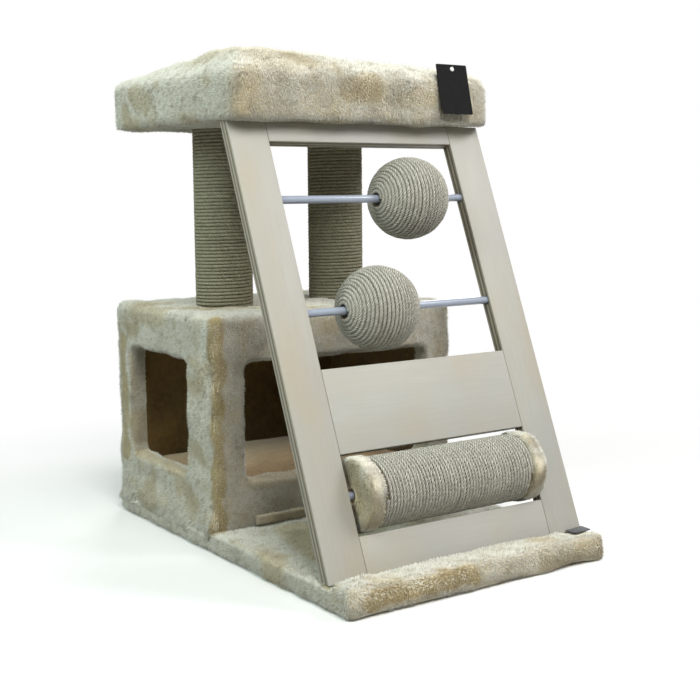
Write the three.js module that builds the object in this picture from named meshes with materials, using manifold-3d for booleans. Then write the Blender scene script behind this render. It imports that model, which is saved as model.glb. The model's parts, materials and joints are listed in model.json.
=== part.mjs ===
// Ball track cat scratcher: a plush cabin on a plush base, two rope posts that carry a padded platform,
// and a leaning plywood frame with two rope balls on rods and a rope scratching roller.
// Millimetres, +Z up. The origin is on the floor under the middle of the base, and the front faces -Y.

import * as THREE from 'three';
import { mergeVertices } from 'three/addons/utils/BufferGeometryUtils.js';
import Module from 'manifold-3d';

const wasm = await Module();
wasm.setup();

// Fits and cloth that the whole object shares
const SEAT = 0.3; // gap between two pieces that rest on or in each other
const PILE = 9; // plush cover, from its backing to the tips of its pile
const HEM = 2.5; // plush pulled flat under a board
const HEM_WIDTH = 20; // how far the base's hem reaches in under its board
const BOARD_CORNER = 12; // corner radius of the base and platform boards

// Width of the leaning frame, which the base, the cabin and the platform follow
const FRAME_WIDTH = 366;

// Base
const FRAME_SIDE_GAP = 2; // from the frame's side out to the base's side
const BASE_WIDTH = FRAME_WIDTH + 2 * FRAME_SIDE_GAP;
const BASE_DEPTH = 565;
const BASE_BOARD = 16;
const BASE_FOOT_ROUND = 3;

// Cabin, measured over its plush
const CABIN_SIDE_GAP = 4; // from the cabin's side out to the base's side
const CABIN_WIDTH = BASE_WIDTH - 2 * CABIN_SIDE_GAP;
const CABIN_DEPTH = 280;
const CABIN_HEIGHT = 260;
const CABIN_CORNER = 17;
const CABIN_EDGE_ROUND = 11;
const WALL = 12;
const LINING = 3;
const JAMB_PILE = 8; // plush that lines the edge of a cut-out
const SILL = 57; // from the cabin's foot to the lower edge of its cut-outs
const CUTOUT_HEIGHT = 143;
const CUTOUT_CORNER = 12;
const DOOR_PILLAR = 44; // from the cabin's side to the doorway
const WINDOW_FRONT_PILLAR = 77;
const WINDOW_BACK_PILLAR = 40;
const FOOT_STRIP_WIDTH = 262;
const FOOT_STRIP_HEIGHT = 14;
const FOOT_STRIP_THICKNESS = 6;
const FOOT_STRIP_ROUND = 2.5;

// Cushion in the cabin
const CUSHION_CLEARANCE = 3;
const CUSHION_CORNER = 42;
const CUSHION_EDGE = 44;
const CUSHION_CROWN = 22;
const CUSHION_ROUND = 18;
const CUSHION_DRAW_IN = 7;

// Posts
const POST_SPACING = 176;
const POST_LENGTH = 226;
const POST_TUBE_RADIUS = 30.5;
const POST_TUBE_WALL = 4;
const PLUG_DEPTH = 22;
const BOLT_RADIUS = 4;
const BOLT_HEAD_RADIUS = 7;
const BOLT_HEAD_HEIGHT = 5;
const BOLT_BITE = 18; // length of bolt in a plug

// Rope on posts, roller and balls
const POST_ROPE = 6;
const ROLLER_ROPE = 5;
const BALL_ROPE = 5.5;
const ROPE_GAP = 0.7; // between neighbouring loops at the core
const ROPE_CROWN = 0.5; // width of a rope's rounded outer side, as a share of its seat
const POST_LOOPS = 22;
const ROLLER_LOOPS = 22;
const BALL_LOOPS = 18;
const ROPE_STEPS = 10; // straight steps in one loop on a tube
const BALL_ROPE_STEPS = 12;

// Platform, measured over its plush
const PLATFORM_SIDE_OVERHANG = 7; // from the frame's side out to the platform's side
const PLATFORM_WIDTH = FRAME_WIDTH + 2 * PLATFORM_SIDE_OVERHANG;
const PLATFORM_DEPTH = 324;
const PLATFORM_EDGE = 62; // height of its sides
const PLATFORM_CROWN = 27;
const PLATFORM_PEAK_X = -115; // the crown's highest point, from the platform's middle
const PLATFORM_PEAK_Y = -60;
const PLATFORM_EDGE_ROUND = 13;
const PLATFORM_FOOT_ROUND = 6;
const PLATFORM_BOARD = 16;
const PLATFORM_OVERHANG = 32; // from the platform's front to the middle of the frame's head

// Leaning frame
const LEAN = THREE.MathUtils.degToRad(22.3);
const FRAME_SETBACK = 48; // from the base's front to the middle of the frame's foot
const FRAME_PLY = 15;
const STILE_WIDTH = 50;
const BOTTOM_RAIL = 41;
const ROLLER_GAP = 90; // between the bottom rail and the mid panel
const MID_PANEL = 96;
const TOP_RAIL = 27;
const ROD_RADIUS = 5;
const ROD_BITE = 15; // depth of a rod's end in a stile
const LOWER_ROD_RISE = 67; // from the mid panel's top edge
const UPPER_ROD_DROP = 69; // from the top rail's lower edge
const DOWEL_RADIUS = 4;
const DOWEL_BITE = 14;
const SCREW_RADIUS = 2.2;
const SCREW_HEAD_RADIUS = 4.2;
const SCREW_HEAD_HEIGHT = 3;
const SCREW_BITE = 34;

// Balls
const BALL_RADIUS = 50;
const UPPER_BALL_X = 51;
const LOWER_BALL_X = -33;
const SLEEVE_WALL = 2.7;
const SLEEVE_LENGTH = 96;
const RUNNING = 0.35; // gap of a piece that turns or slides on another

// Roller
const ROLLER_END_PLAY = 4; // between the roller's end and a stile
const ROLLER_RADIUS = 40;
const ROLLER_TUBE_WALL = 4;
const ROLLER_CAP_RADIUS = 42;
const ROLLER_CAP_FACE = 6;
const ROLLER_CAP_RIM = 16;
const ROLLER_CAP_ROUND = 5;
const ROLLER_CAP_HOLE = 8.5;
const ROLLER_DISC = 12;
const ROLLER_ROPE_MARGIN = 1; // between the rope and a cap's rim

// Hang tag and woven tab, both blank
const TAG_WIDTH = 48;
const TAG_HEIGHT = 63;
const TAG_CARD = 1;
const TAG_CORNER = 1.5;
const TAG_SIDE_GAP = 65; // from the platform's right side in to the tag's middle
const TAG_X = PLATFORM_WIDTH / 2 - TAG_SIDE_GAP;
const TAG_LEAN = THREE.MathUtils.degToRad(12); // its foot stands forward, off the platform's front
const TAG_EYE_DROP = 6; // from the tag's top edge to its eye
const TAG_EYE_RISE = 17.5; // from where the tag lies on the platform's edge up to its eye
const TAG_PIN_RADIUS = 1;
const TAG_PIN_HEAD_RADIUS = 2.6;
const TAG_PIN_HEAD = 1;
const TAG_PIN_LENGTH = 28; // from the tag into the platform
const TAB_WIDTH = 26;
const TAB_DEPTH = 16;
const TAB_CARD = 1.2;
const TAB_EDGE_GAP = 4; // from the base's right side
const TAB_FRONT_GAP = 22; // from the base's front

// Facets
const ROUND_SIDES = 16;
const SMALL_SIDES = 8;
const ARC_STEPS = 4; // in a quarter circle
const SIDE_STEPS = 3;
const EDGE_STEPS = 2;
const CROWN_STEPS = 5;
const CROWN_POWER = 0.6; // below 1 for a plump crown
const BALL_ARC_STEPS = 10;
const WELD = 1e-4;
const PAST = 1; // how far a cutting solid runs past the face that it opens

// Colours and finishes
const FINISH = {
  plush: { color: 0xd6ccb4, roughness: 0.95, metalness: 0 },
  lining: { color: 0xb49a72, roughness: 0.95, metalness: 0 },
  cushion: { color: 0xc2a67e, roughness: 0.9, metalness: 0 },
  board: { color: 0xb99a6b, roughness: 0.8, metalness: 0 },
  plywood: { color: 0xd2c6b0, roughness: 0.55, metalness: 0 },
  foam: { color: 0xe6dfcc, roughness: 1, metalness: 0 },
  sisal: { color: 0xa2957c, roughness: 0.95, metalness: 0 },
  paperTube: { color: 0x9a7f5c, roughness: 0.9, metalness: 0 },
  rod: { color: 0xcdcfdd, roughness: 0.35, metalness: 0.6 },
  steel: { color: 0xa9abb0, roughness: 0.4, metalness: 1 },
  plastic: { color: 0xe4e2dc, roughness: 0.45, metalness: 0 },
  card: { color: 0x2a2928, roughness: 0.6, metalness: 0 },
};

// Heights and places worked out from the sizes above
const boardInset = PILE + SEAT;
const baseTop = HEM + SEAT + BASE_BOARD + SEAT + PILE;
const standZ = baseTop + SEAT;
const baseFront = -BASE_DEPTH / 2;
const cabinY = BASE_DEPTH / 2 - CABIN_DEPTH / 2;
const cabinFront = cabinY - CABIN_DEPTH / 2;
const roofTop = standZ + CABIN_HEIGHT;
const postFoot = roofTop + SEAT;
const platformZ = postFoot + POST_LENGTH + SEAT;
const frameY = baseFront + FRAME_SETBACK;
const frameLength = (platformZ - SEAT - standZ) / Math.cos(LEAN);
const frameHeadY = frameY + (platformZ - SEAT - standZ) * Math.tan(LEAN);
const platformFront = frameHeadY - PLATFORM_OVERHANG;
const platformY = platformFront + PLATFORM_DEPTH / 2;
const leanMatrix = new THREE.Matrix4().makeTranslation(0, frameY, standZ);
leanMatrix.multiply(new THREE.Matrix4().makeRotationX(-LEAN));

// Geometry helpers

function moved(x, y, z) {
  return new THREE.Matrix4().makeTranslation(x, y, z);
}

function signedVolume(geometry) {
  const position = geometry.attributes.position;
  const index = geometry.index.array;
  const corners = [new THREE.Vector3(), new THREE.Vector3(), new THREE.Vector3()];
  let sum = 0;
  for (let i = 0; i < index.length; i += 3) {
    corners.forEach((corner, k) => corner.fromBufferAttribute(position, index[i + k]));
    sum += corners[0].dot(corners[1].cross(corners[2]));
  }
  return sum / 6;
}

// Merges shared vertices, drops empty triangles and turns the faces outwards.
function closed(geometry) {
  const bare = geometry.clone();
  bare.deleteAttribute('normal');
  bare.deleteAttribute('uv');
  const merged = mergeVertices(bare, WELD);
  const kept = [];
  const index = merged.index.array;
  for (let i = 0; i < index.length; i += 3) {
    const [a, b, c] = [index[i], index[i + 1], index[i + 2]];
    if (a !== b && b !== c && c !== a) kept.push(a, b, c);
  }
  merged.setIndex(kept);
  if (signedVolume(merged) < 0) merged.setIndex(kept.reverse());
  return merged;
}

function solidOf(geometry, place = new THREE.Matrix4()) {
  const shape = closed(geometry).applyMatrix4(place);
  const vertProperties = new Float32Array(shape.attributes.position.array);
  const triVerts = new Uint32Array(shape.index.array);
  return new wasm.Manifold(new wasm.Mesh({ numProp: 3, vertProperties, triVerts }));
}

function geometryOf(solid) {
  const mesh = solid.getMesh();
  const geometry = new THREE.BufferGeometry();
  geometry.setAttribute('position', new THREE.BufferAttribute(mesh.vertProperties, 3));
  geometry.setIndex(new THREE.BufferAttribute(mesh.triVerts, 1));
  return geometry;
}

// A closed surface through rings of equally many points, with a fan over each end.
function loft(rings) {
  const sides = rings[0].length;
  const points = rings.flat();
  const index = [];
  for (let r = 0; r + 1 < rings.length; r += 1) {
    for (let i = 0; i < sides; i += 1) {
      const a = r * sides + i;
      const b = r * sides + (i + 1) % sides;
      index.push(a, b, b + sides, a, b + sides, a + sides);
    }
  }
  const last = (rings.length - 1) * sides;
  const ends = [[rings[0], 0, true], [rings[rings.length - 1], last, false]];
  for (const [ring, start, turnedOver] of ends) {
    const middle = ring.reduce((sum, p) => sum.add(p), new THREE.Vector3()).divideScalar(sides);
    points.push(middle);
    for (let i = 0; i < sides; i += 1) {
      const a = start + i;
      const b = start + (i + 1) % sides;
      index.push(points.length - 1, turnedOver ? b : a, turnedOver ? a : b);
    }
  }
  return new THREE.BufferGeometry().setFromPoints(points).setIndex(index);
}

// A rectangle with round corners whose sides may be drawn in between the corners.
function outline(halfX, halfY, radius, drawIn = 0) {
  const points = [];
  const corners = [[1, 1], [-1, 1], [-1, -1], [1, -1]];
  corners.forEach(([signX, signY], quarter) => {
    const inward = new THREE.Vector2(0, -drawIn).rotateAround(new THREE.Vector2(), quarter * Math.PI / 2);
    const middle = new THREE.Vector2(signX * (halfX - radius), signY * (halfY - radius));
    for (let k = 0; k <= ARC_STEPS; k += 1) {
      const angle = (quarter + k / ARC_STEPS) * Math.PI / 2;
      points.push(new THREE.Vector2(Math.cos(angle), Math.sin(angle)).multiplyScalar(radius).add(middle));
    }
    const [nextX, nextY] = corners[(quarter + 1) % 4];
    const nextMiddle = new THREE.Vector2(nextX * (halfX - radius), nextY * (halfY - radius));
    const from = points[points.length - 1];
    const run = nextMiddle.sub(middle);
    for (let k = 1; k < SIDE_STEPS; k += 1) {
      const share = k / SIDE_STEPS;
      const pull = inward.clone().multiplyScalar(Math.sin(Math.PI * share));
      points.push(from.clone().addScaledVector(run, share).add(pull));
    }
  });
  return points;
}

// How full a crown is at a place along one axis: 1 at its peak and 0 at both edges.
function fullness(place, half, peak) {
  const reach = place < peak ? half + peak : half - peak;
  return 1 - ((place - peak) / reach) ** 2;
}

// A block with a flat foot at z = 0, rounded edges and, where it has a crown, a domed top.
function cushionBlock(sizes) {
  const { width, depth, corner, height, edge, foot = 0, crown = 0, peakX = 0, peakY = 0, drawIn = 0 } = sizes;
  const rings = [];
  const layer = (inset, z, share = 1) => {
    const halfX = width / 2 - inset;
    const halfY = depth / 2 - inset;
    const flat = outline(halfX, halfY, Math.max(corner - inset, 1), drawIn);
    rings.push(flat.map((p) => {
      const swell = fullness(p.x * share, halfX, peakX) * fullness(p.y * share, halfY, peakY);
      const rise = share < 1 ? crown * Math.max(swell, 0) ** CROWN_POWER : 0;
      return new THREE.Vector3(p.x * share, p.y * share, z + rise);
    }));
  };
  const footSteps = foot > 0 ? EDGE_STEPS : 0;
  for (let k = 0; k < footSteps; k += 1) {
    const angle = (k / footSteps) * Math.PI / 2;
    layer(foot * (1 - Math.sin(angle)), foot * (1 - Math.cos(angle)));
  }
  layer(0, foot);
  for (let k = 0; k <= EDGE_STEPS; k += 1) {
    const angle = (k / EDGE_STEPS) * Math.PI / 2;
    layer(edge * (1 - Math.cos(angle)), height - edge + edge * Math.sin(angle));
  }
  const crownSteps = crown > 0 ? CROWN_STEPS : 0;
  for (let k = 1; k < crownSteps; k += 1) {
    layer(edge, height, 1 - k / crownSteps);
  }
  return loft(rings);
}

function roundedRect(width, height, radius) {
  const shape = new THREE.Shape();
  const x = width / 2 - radius;
  const y = height / 2 - radius;
  shape.absarc(x, y, radius, 0, Math.PI / 2);
  shape.absarc(-x, y, radius, Math.PI / 2, Math.PI);
  shape.absarc(-x, -y, radius, Math.PI, Math.PI * 1.5);
  shape.absarc(x, -y, radius, Math.PI * 1.5, Math.PI * 2);
  return shape;
}

// A flat plate on z = 0 with round corners. An arc takes two steps for each curve segment.
function plate(width, depth, thickness, radius) {
  const options = { depth: thickness, bevelEnabled: false, curveSegments: ARC_STEPS / 2 };
  return new THREE.ExtrudeGeometry(roundedRect(width, depth, radius), options);
}

// A box that stands on z = 0.
function block(width, depth, height) {
  return new THREE.BoxGeometry(width, depth, height).translate(0, 0, height / 2);
}

// A round bar along Z between two heights.
function bar(radius, from, to, sides = ROUND_SIDES) {
  const cylinder = new THREE.CylinderGeometry(radius, radius, to - from, sides);
  return cylinder.rotateX(Math.PI / 2).translate(0, 0, (from + to) / 2);
}

// A piece turned on the Z axis from [radius, height] points. Its first edge lies on +X, where a rope starts.
function turned(profile, sides = ROUND_SIDES) {
  const points = profile.map(([radius, height]) => new THREE.Vector2(radius, height));
  return new THREE.LatheGeometry(points, sides, Math.PI / 2).rotateX(Math.PI / 2);
}

function ring(inner, outer, from, to, sides = ROUND_SIDES) {
  return turned([[inner, from], [outer, from], [outer, to], [inner, to], [inner, from]], sides);
}

// A headed fastener: its head lies below z = 0 and its shank runs up to the given length.
function headed(shank, head, headHeight, length, sides = SMALL_SIDES) {
  const headPoints = [[0, -headHeight], [head, -headHeight], [head, 0]];
  const shankPoints = [[shank, 0], [shank, length], [0, length]];
  return turned([...headPoints, ...shankPoints], sides);
}

function alongX(geometry) {
  return geometry.rotateY(Math.PI / 2);
}

// One unbroken rope. path(turn) gives its seat on the core, the way out and the way along the axis.
function ropeRings(loops, steps, width, height, path) {
  const half = width / 2;
  const section = [[-half, 0], [half, 0], [half * ROPE_CROWN, height], [-half * ROPE_CROWN, height]];
  const rings = [];
  for (let i = 0; i <= loops * steps; i += 1) {
    const { seat, out, along } = path(i / steps);
    rings.push(section.map(([w, h]) => seat.clone().addScaledVector(along, w).addScaledVector(out, h)));
  }
  return rings;
}

// Each end of the rope runs straight on for one rope thickness.
function withStraightEnds(rings, length) {
  const extended = (from, before) => {
    const way = from[0].clone().sub(before[0]).setLength(length);
    return from.map((p) => p.clone().add(way));
  };
  const first = extended(rings[0], rings[1]);
  const last = extended(rings[rings.length - 1], rings[rings.length - 2]);
  return [first, ...rings, last];
}

// The least distance between points of the rope that are half a loop or more apart.
function leastGap(rings, steps) {
  let least = Infinity;
  for (let i = 0; i < rings.length; i += 1) {
    for (let j = i + Math.ceil(steps / 2); j < rings.length; j += 1) {
      for (const p of rings[i]) {
        for (const q of rings[j]) least = Math.min(least, p.distanceTo(q));
      }
    }
  }
  return least;
}

function rope(name, loops, steps, width, height, path) {
  const rings = withStraightEnds(ropeRings(loops, steps, width, height, path), height);
  console.log(`${name}: least gap of the rope to itself ${leastGap(rings, steps).toFixed(2)} mm`);
  return loft(rings);
}

// Rope wound on a tube along Z, from one height to another.
function tubeRope(name, radius, thickness, from, to, loops) {
  const pitch = (to - from) / (loops + 1);
  const path = (turn) => {
    const angle = turn * Math.PI * 2;
    const out = new THREE.Vector3(Math.cos(angle), Math.sin(angle), 0);
    const height = from + pitch * (turn + 0.5);
    return { seat: out.clone().multiplyScalar(radius).setZ(height), out, along: new THREE.Vector3(0, 0, 1) };
  };
  return rope(name, loops, ROPE_STEPS, pitch - ROPE_GAP, thickness, path);
}

// Rope wound on a ball from one pole to the other, about Z. polar is the angle of the first loop.
function ballRope(name, radius, thickness, polar, loops) {
  const sweep = (Math.PI - 2 * polar) / loops;
  const path = (turn) => {
    const angle = turn * Math.PI * 2;
    const down = polar + sweep * turn;
    const flat = new THREE.Vector3(Math.cos(angle), Math.sin(angle), 0);
    const out = flat.clone().multiplyScalar(Math.sin(down)).setZ(-Math.cos(down));
    const along = flat.clone().multiplyScalar(Math.cos(down)).setZ(Math.sin(down));
    return { seat: out.clone().multiplyScalar(radius), out, along };
  };
  return rope(name, loops, BALL_ROPE_STEPS, sweep * radius - ROPE_GAP, thickness, path);
}

const scratcher = new THREE.Group();
const leaning = new THREE.Group();
leaning.position.set(0, frameY, standZ);
leaning.rotation.x = -LEAN;
scratcher.add(leaning);

function add(parent, name, geometry, finish, place = new THREE.Vector3()) {
  const material = new THREE.MeshStandardMaterial({ name, ...FINISH[finish] });
  const shape = closed(geometry);
  shape.computeVertexNormals();
  const mesh = new THREE.Mesh(shape, material);
  mesh.name = name;
  mesh.position.copy(place);
  parent.add(mesh);
  return mesh;
}

// Screws on the frame's centre plane: feet through the base board, heads through the platform board

const stileX = FRAME_WIDTH / 2 - STILE_WIDTH / 2;
const footGrip = (SEAT + PILE + SEAT + BASE_BOARD / 2) / Math.cos(LEAN);
const headGrip = (SEAT + HEM + SEAT + PLATFORM_BOARD / 2) / Math.cos(LEAN);
const screwPocket = BASE_BOARD + PLATFORM_BOARD; // long enough to leave either board
const frameScrews = [
  { name: 'foot_screw', start: -footGrip, length: footGrip + SCREW_BITE, turn: 0 },
  { name: 'head_screw', start: frameLength + headGrip, length: headGrip + SCREW_BITE, turn: Math.PI },
];

function screwPlace(screw, x) {
  return moved(x, 0, screw.start).multiply(new THREE.Matrix4().makeRotationX(screw.turn));
}

// The room that a screw takes up, with the way its head goes in
function screwRoom(screw, x) {
  const shank = bar(SCREW_RADIUS + SEAT, -PAST, screw.length + SEAT, SMALL_SIDES);
  const pocket = bar(SCREW_HEAD_RADIUS + SEAT, -screwPocket, SEAT, SMALL_SIDES);
  return solidOf(shank, screwPlace(screw, x)).add(solidOf(pocket, screwPlace(screw, x)));
}

function screwHoles(screw) {
  return [-stileX, stileX].map((x) => screwRoom(screw, x).transform(leanMatrix.elements));
}

// Base

function makeBase() {
  const width = BASE_WIDTH - 2 * boardInset;
  const depth = BASE_DEPTH - 2 * boardInset;
  const boardZ = HEM + SEAT;
  let board = solidOf(plate(width, depth, BASE_BOARD, BOARD_CORNER), moved(0, 0, boardZ));
  const outer = {
    width: BASE_WIDTH,
    depth: BASE_DEPTH,
    corner: BOARD_CORNER + boardInset,
    height: baseTop,
    edge: PILE,
    foot: BASE_FOOT_ROUND,
  };
  const pocket = plate(width + 2 * SEAT, depth + 2 * SEAT, BASE_BOARD + 2 * SEAT, BOARD_CORNER + SEAT);
  const hemEdge = plate(width - 2 * HEM_WIDTH, depth - 2 * HEM_WIDTH, HEM + 2 * PAST, BOARD_CORNER);
  let cover = solidOf(cushionBlock(outer));
  cover = cover.subtract(solidOf(pocket, moved(0, 0, HEM)));
  cover = cover.subtract(solidOf(hemEdge, moved(0, 0, -PAST)));
  for (const hole of screwHoles(frameScrews[0])) {
    board = board.subtract(hole);
    cover = cover.subtract(hole);
  }
  add(scratcher, 'base_board', geometryOf(board), 'board');
  add(scratcher, 'base_cover', geometryOf(cover), 'plush');
}

// Cabin

const cabinBoardWidth = CABIN_WIDTH - 2 * boardInset;
const cabinBoardDepth = CABIN_DEPTH - 2 * boardInset;
const wallHeight = CABIN_HEIGHT - PILE - SEAT - WALL - SEAT;
const roofZ = standZ + wallHeight + SEAT;
const insideWidth = cabinBoardWidth - 2 * (WALL + SEAT);
const insideDepth = cabinBoardDepth - 2 * (WALL + SEAT);
const cutoutZ = standZ + SILL + CUTOUT_HEIGHT / 2;
const doorWidth = CABIN_WIDTH - 2 * DOOR_PILLAR;
const windowWidth = CABIN_DEPTH - WINDOW_FRONT_PILLAR - WINDOW_BACK_PILLAR;
const windowY = cabinFront + WINDOW_FRONT_PILLAR + windowWidth / 2;
const postX = POST_SPACING / 2;

// A prism the shape of a cut-out, grown all round, that runs in from a wall's outer face.
function cutout(width, grow, from, to) {
  const prism = plate(width + 2 * grow, CUTOUT_HEIGHT + 2 * grow, to - from, CUTOUT_CORNER + grow);
  return prism.translate(0, 0, from);
}

const facingFront = new THREE.Matrix4().makeRotationX(Math.PI / 2);
const facingLeft = new THREE.Matrix4().makeRotationZ(-Math.PI / 2).multiply(facingFront);

// Distances from the cover's outer face, outwards, at the doorway and at the window in the left wall
function doorSolid(grow, from, to) {
  const place = moved(0, cabinFront, cutoutZ).multiply(facingFront);
  return solidOf(cutout(doorWidth, grow, from, to), place);
}

function windowSolid(grow, from, to) {
  const place = moved(-CABIN_WIDTH / 2, windowY, cutoutZ).multiply(facingLeft);
  return solidOf(cutout(windowWidth, grow, from, to), place);
}

const wallInner = -(boardInset + WALL);
const liningInner = wallInner - SEAT - LINING;

function makeCabinWalls() {
  const sideX = cabinBoardWidth / 2 - WALL / 2;
  const frontY = cabinBoardDepth / 2 - WALL / 2;
  const sideWall = block(WALL, cabinBoardDepth, wallHeight);
  const endWall = block(insideWidth, WALL, wallHeight);
  const holeGrow = JAMB_PILE + SEAT;
  const left = solidOf(sideWall, moved(-sideX, cabinY, standZ));
  const front = solidOf(endWall, moved(0, cabinY - frontY, standZ));
  const windowHole = windowSolid(holeGrow, wallInner - PAST, PAST);
  const doorHole = doorSolid(holeGrow, wallInner - PAST, PAST);
  add(scratcher, 'cabin_left_wall', geometryOf(left.subtract(windowHole)), 'board');
  add(scratcher, 'cabin_right_wall', sideWall, 'board', new THREE.Vector3(sideX, cabinY, standZ));
  add(scratcher, 'cabin_front_wall', geometryOf(front.subtract(doorHole)), 'board');
  add(scratcher, 'cabin_back_wall', endWall, 'board', new THREE.Vector3(0, cabinY + frontY, standZ));
  let roof = solidOf(block(cabinBoardWidth, cabinBoardDepth, WALL), moved(0, cabinY, roofZ));
  for (const hole of lowerBoltHoles(BOLT_RADIUS + SEAT)) roof = roof.subtract(hole);
  add(scratcher, 'cabin_roof', geometryOf(roof), 'board');
}

function makeCabinCloth() {
  const outer = {
    width: CABIN_WIDTH,
    depth: CABIN_DEPTH,
    corner: CABIN_CORNER,
    height: CABIN_HEIGHT,
    edge: CABIN_EDGE_ROUND,
  };
  const pocketHeight = CABIN_HEIGHT - PILE + PAST;
  const pocket = block(cabinBoardWidth + 2 * SEAT, cabinBoardDepth + 2 * SEAT, pocketHeight);
  let cover = solidOf(cushionBlock(outer), moved(0, cabinY, standZ));
  cover = cover.subtract(solidOf(pocket, moved(0, cabinY, standZ - PAST)));
  cover = cover.add(doorSolid(JAMB_PILE, wallInner, -PILE / 2));
  cover = cover.add(windowSolid(JAMB_PILE, wallInner, -PILE / 2));
  const doorCut = doorSolid(0, liningInner - PAST, PAST);
  const windowCut = windowSolid(0, liningInner - PAST, PAST);
  cover = cover.subtract(doorCut).subtract(windowCut);
  for (const hole of lowerBoltHoles(BOLT_RADIUS + SEAT)) cover = cover.subtract(hole);
  add(scratcher, 'cabin_cover', geometryOf(cover), 'plush');

  const shell = block(insideWidth, insideDepth, wallHeight);
  const room = block(insideWidth - 2 * LINING, insideDepth - 2 * LINING, wallHeight - LINING + PAST);
  let lining = solidOf(shell, moved(0, cabinY, standZ));
  lining = lining.subtract(solidOf(room, moved(0, cabinY, standZ - PAST)));
  lining = lining.subtract(doorCut).subtract(windowCut);
  for (const hole of lowerBoltHoles(BOLT_HEAD_RADIUS + SEAT)) lining = lining.subtract(hole);
  add(scratcher, 'cabin_lining', geometryOf(lining), 'lining');

  const strip = plate(FOOT_STRIP_WIDTH, FOOT_STRIP_HEIGHT, FOOT_STRIP_THICKNESS, FOOT_STRIP_ROUND);
  const stripPlace = new THREE.Vector3(0, cabinFront - SEAT, standZ + FOOT_STRIP_HEIGHT / 2);
  add(scratcher, 'cabin_foot_strip', strip.rotateX(Math.PI / 2), 'plush', stripPlace);

  const cushion = cushionBlock({
    width: insideWidth - 2 * (LINING + CUSHION_CLEARANCE),
    depth: insideDepth - 2 * (LINING + CUSHION_CLEARANCE),
    corner: CUSHION_CORNER,
    height: CUSHION_EDGE,
    edge: CUSHION_ROUND,
    foot: CUSHION_ROUND,
    crown: CUSHION_CROWN,
    drawIn: CUSHION_DRAW_IN,
  });
  add(scratcher, 'cabin_cushion', cushion, 'cushion', new THREE.Vector3(0, cabinY, standZ));
}

// Posts, each a paper tube with a plug in each end, a bolt in each plug and rope round it

function lowerBoltHoles(radius) {
  const hole = bar(radius, standZ + SILL, postFoot, SMALL_SIDES);
  return [-postX, postX].map((x) => solidOf(hole, moved(x, cabinY, 0)));
}

const tubeInner = POST_TUBE_RADIUS - POST_TUBE_WALL;
const lowerBoltReach = SEAT + PILE + 2 * SEAT + WALL + BOLT_BITE;
const upperBoltSink = BOLT_HEAD_HEIGHT + SEAT; // how deep a head sits in the platform board
const upperBoltReach = PLATFORM_BOARD - upperBoltSink + HEM + 2 * SEAT + BOLT_BITE;
const upperBoltSeat = platformZ + HEM + SEAT + PLATFORM_BOARD - upperBoltSink;

function makePost(side, x) {
  const bore = BOLT_RADIUS + SEAT;
  const place = new THREE.Vector3(x, cabinY, postFoot);
  const tube = ring(tubeInner, POST_TUBE_RADIUS, 0, POST_LENGTH, ROPE_STEPS);
  const plug = (from) => ring(bore, tubeInner - SEAT, from, from + PLUG_DEPTH, ROPE_STEPS);
  const wound = tubeRope(`${side}_post_rope`, POST_TUBE_RADIUS + SEAT, POST_ROPE, 0, POST_LENGTH, POST_LOOPS);
  add(scratcher, `${side}_post_tube`, tube, 'paperTube', place);
  add(scratcher, `${side}_post_lower_plug`, plug(0), 'board', place);
  add(scratcher, `${side}_post_upper_plug`, plug(POST_LENGTH - PLUG_DEPTH), 'board', place);
  add(scratcher, `${side}_post_rope`, wound, 'sisal', place);
  const lower = headed(BOLT_RADIUS, BOLT_HEAD_RADIUS, BOLT_HEAD_HEIGHT, lowerBoltReach);
  add(scratcher, `${side}_post_lower_bolt`, lower, 'steel', new THREE.Vector3(x, cabinY, roofZ - SEAT));
  const upper = headed(BOLT_RADIUS, BOLT_HEAD_RADIUS, BOLT_HEAD_HEIGHT, upperBoltReach).rotateX(Math.PI);
  const upperPlace = new THREE.Vector3(x, cabinY, upperBoltSeat + SEAT);
  add(scratcher, `${side}_post_upper_bolt`, upper, 'steel', upperPlace);
}

// Platform: board, foam pad and plush cover

function upperBoltRooms() {
  return [-postX, postX].map((x) => {
    const sinkTop = upperBoltSeat + upperBoltSink + SEAT;
    const shank = bar(BOLT_RADIUS + SEAT, platformZ - PAST, upperBoltSeat + PAST, SMALL_SIDES);
    const sink = bar(BOLT_HEAD_RADIUS + SEAT, upperBoltSeat, sinkTop, SMALL_SIDES);
    return solidOf(shank, moved(x, cabinY, 0)).add(solidOf(sink, moved(x, cabinY, 0)));
  });
}

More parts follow.
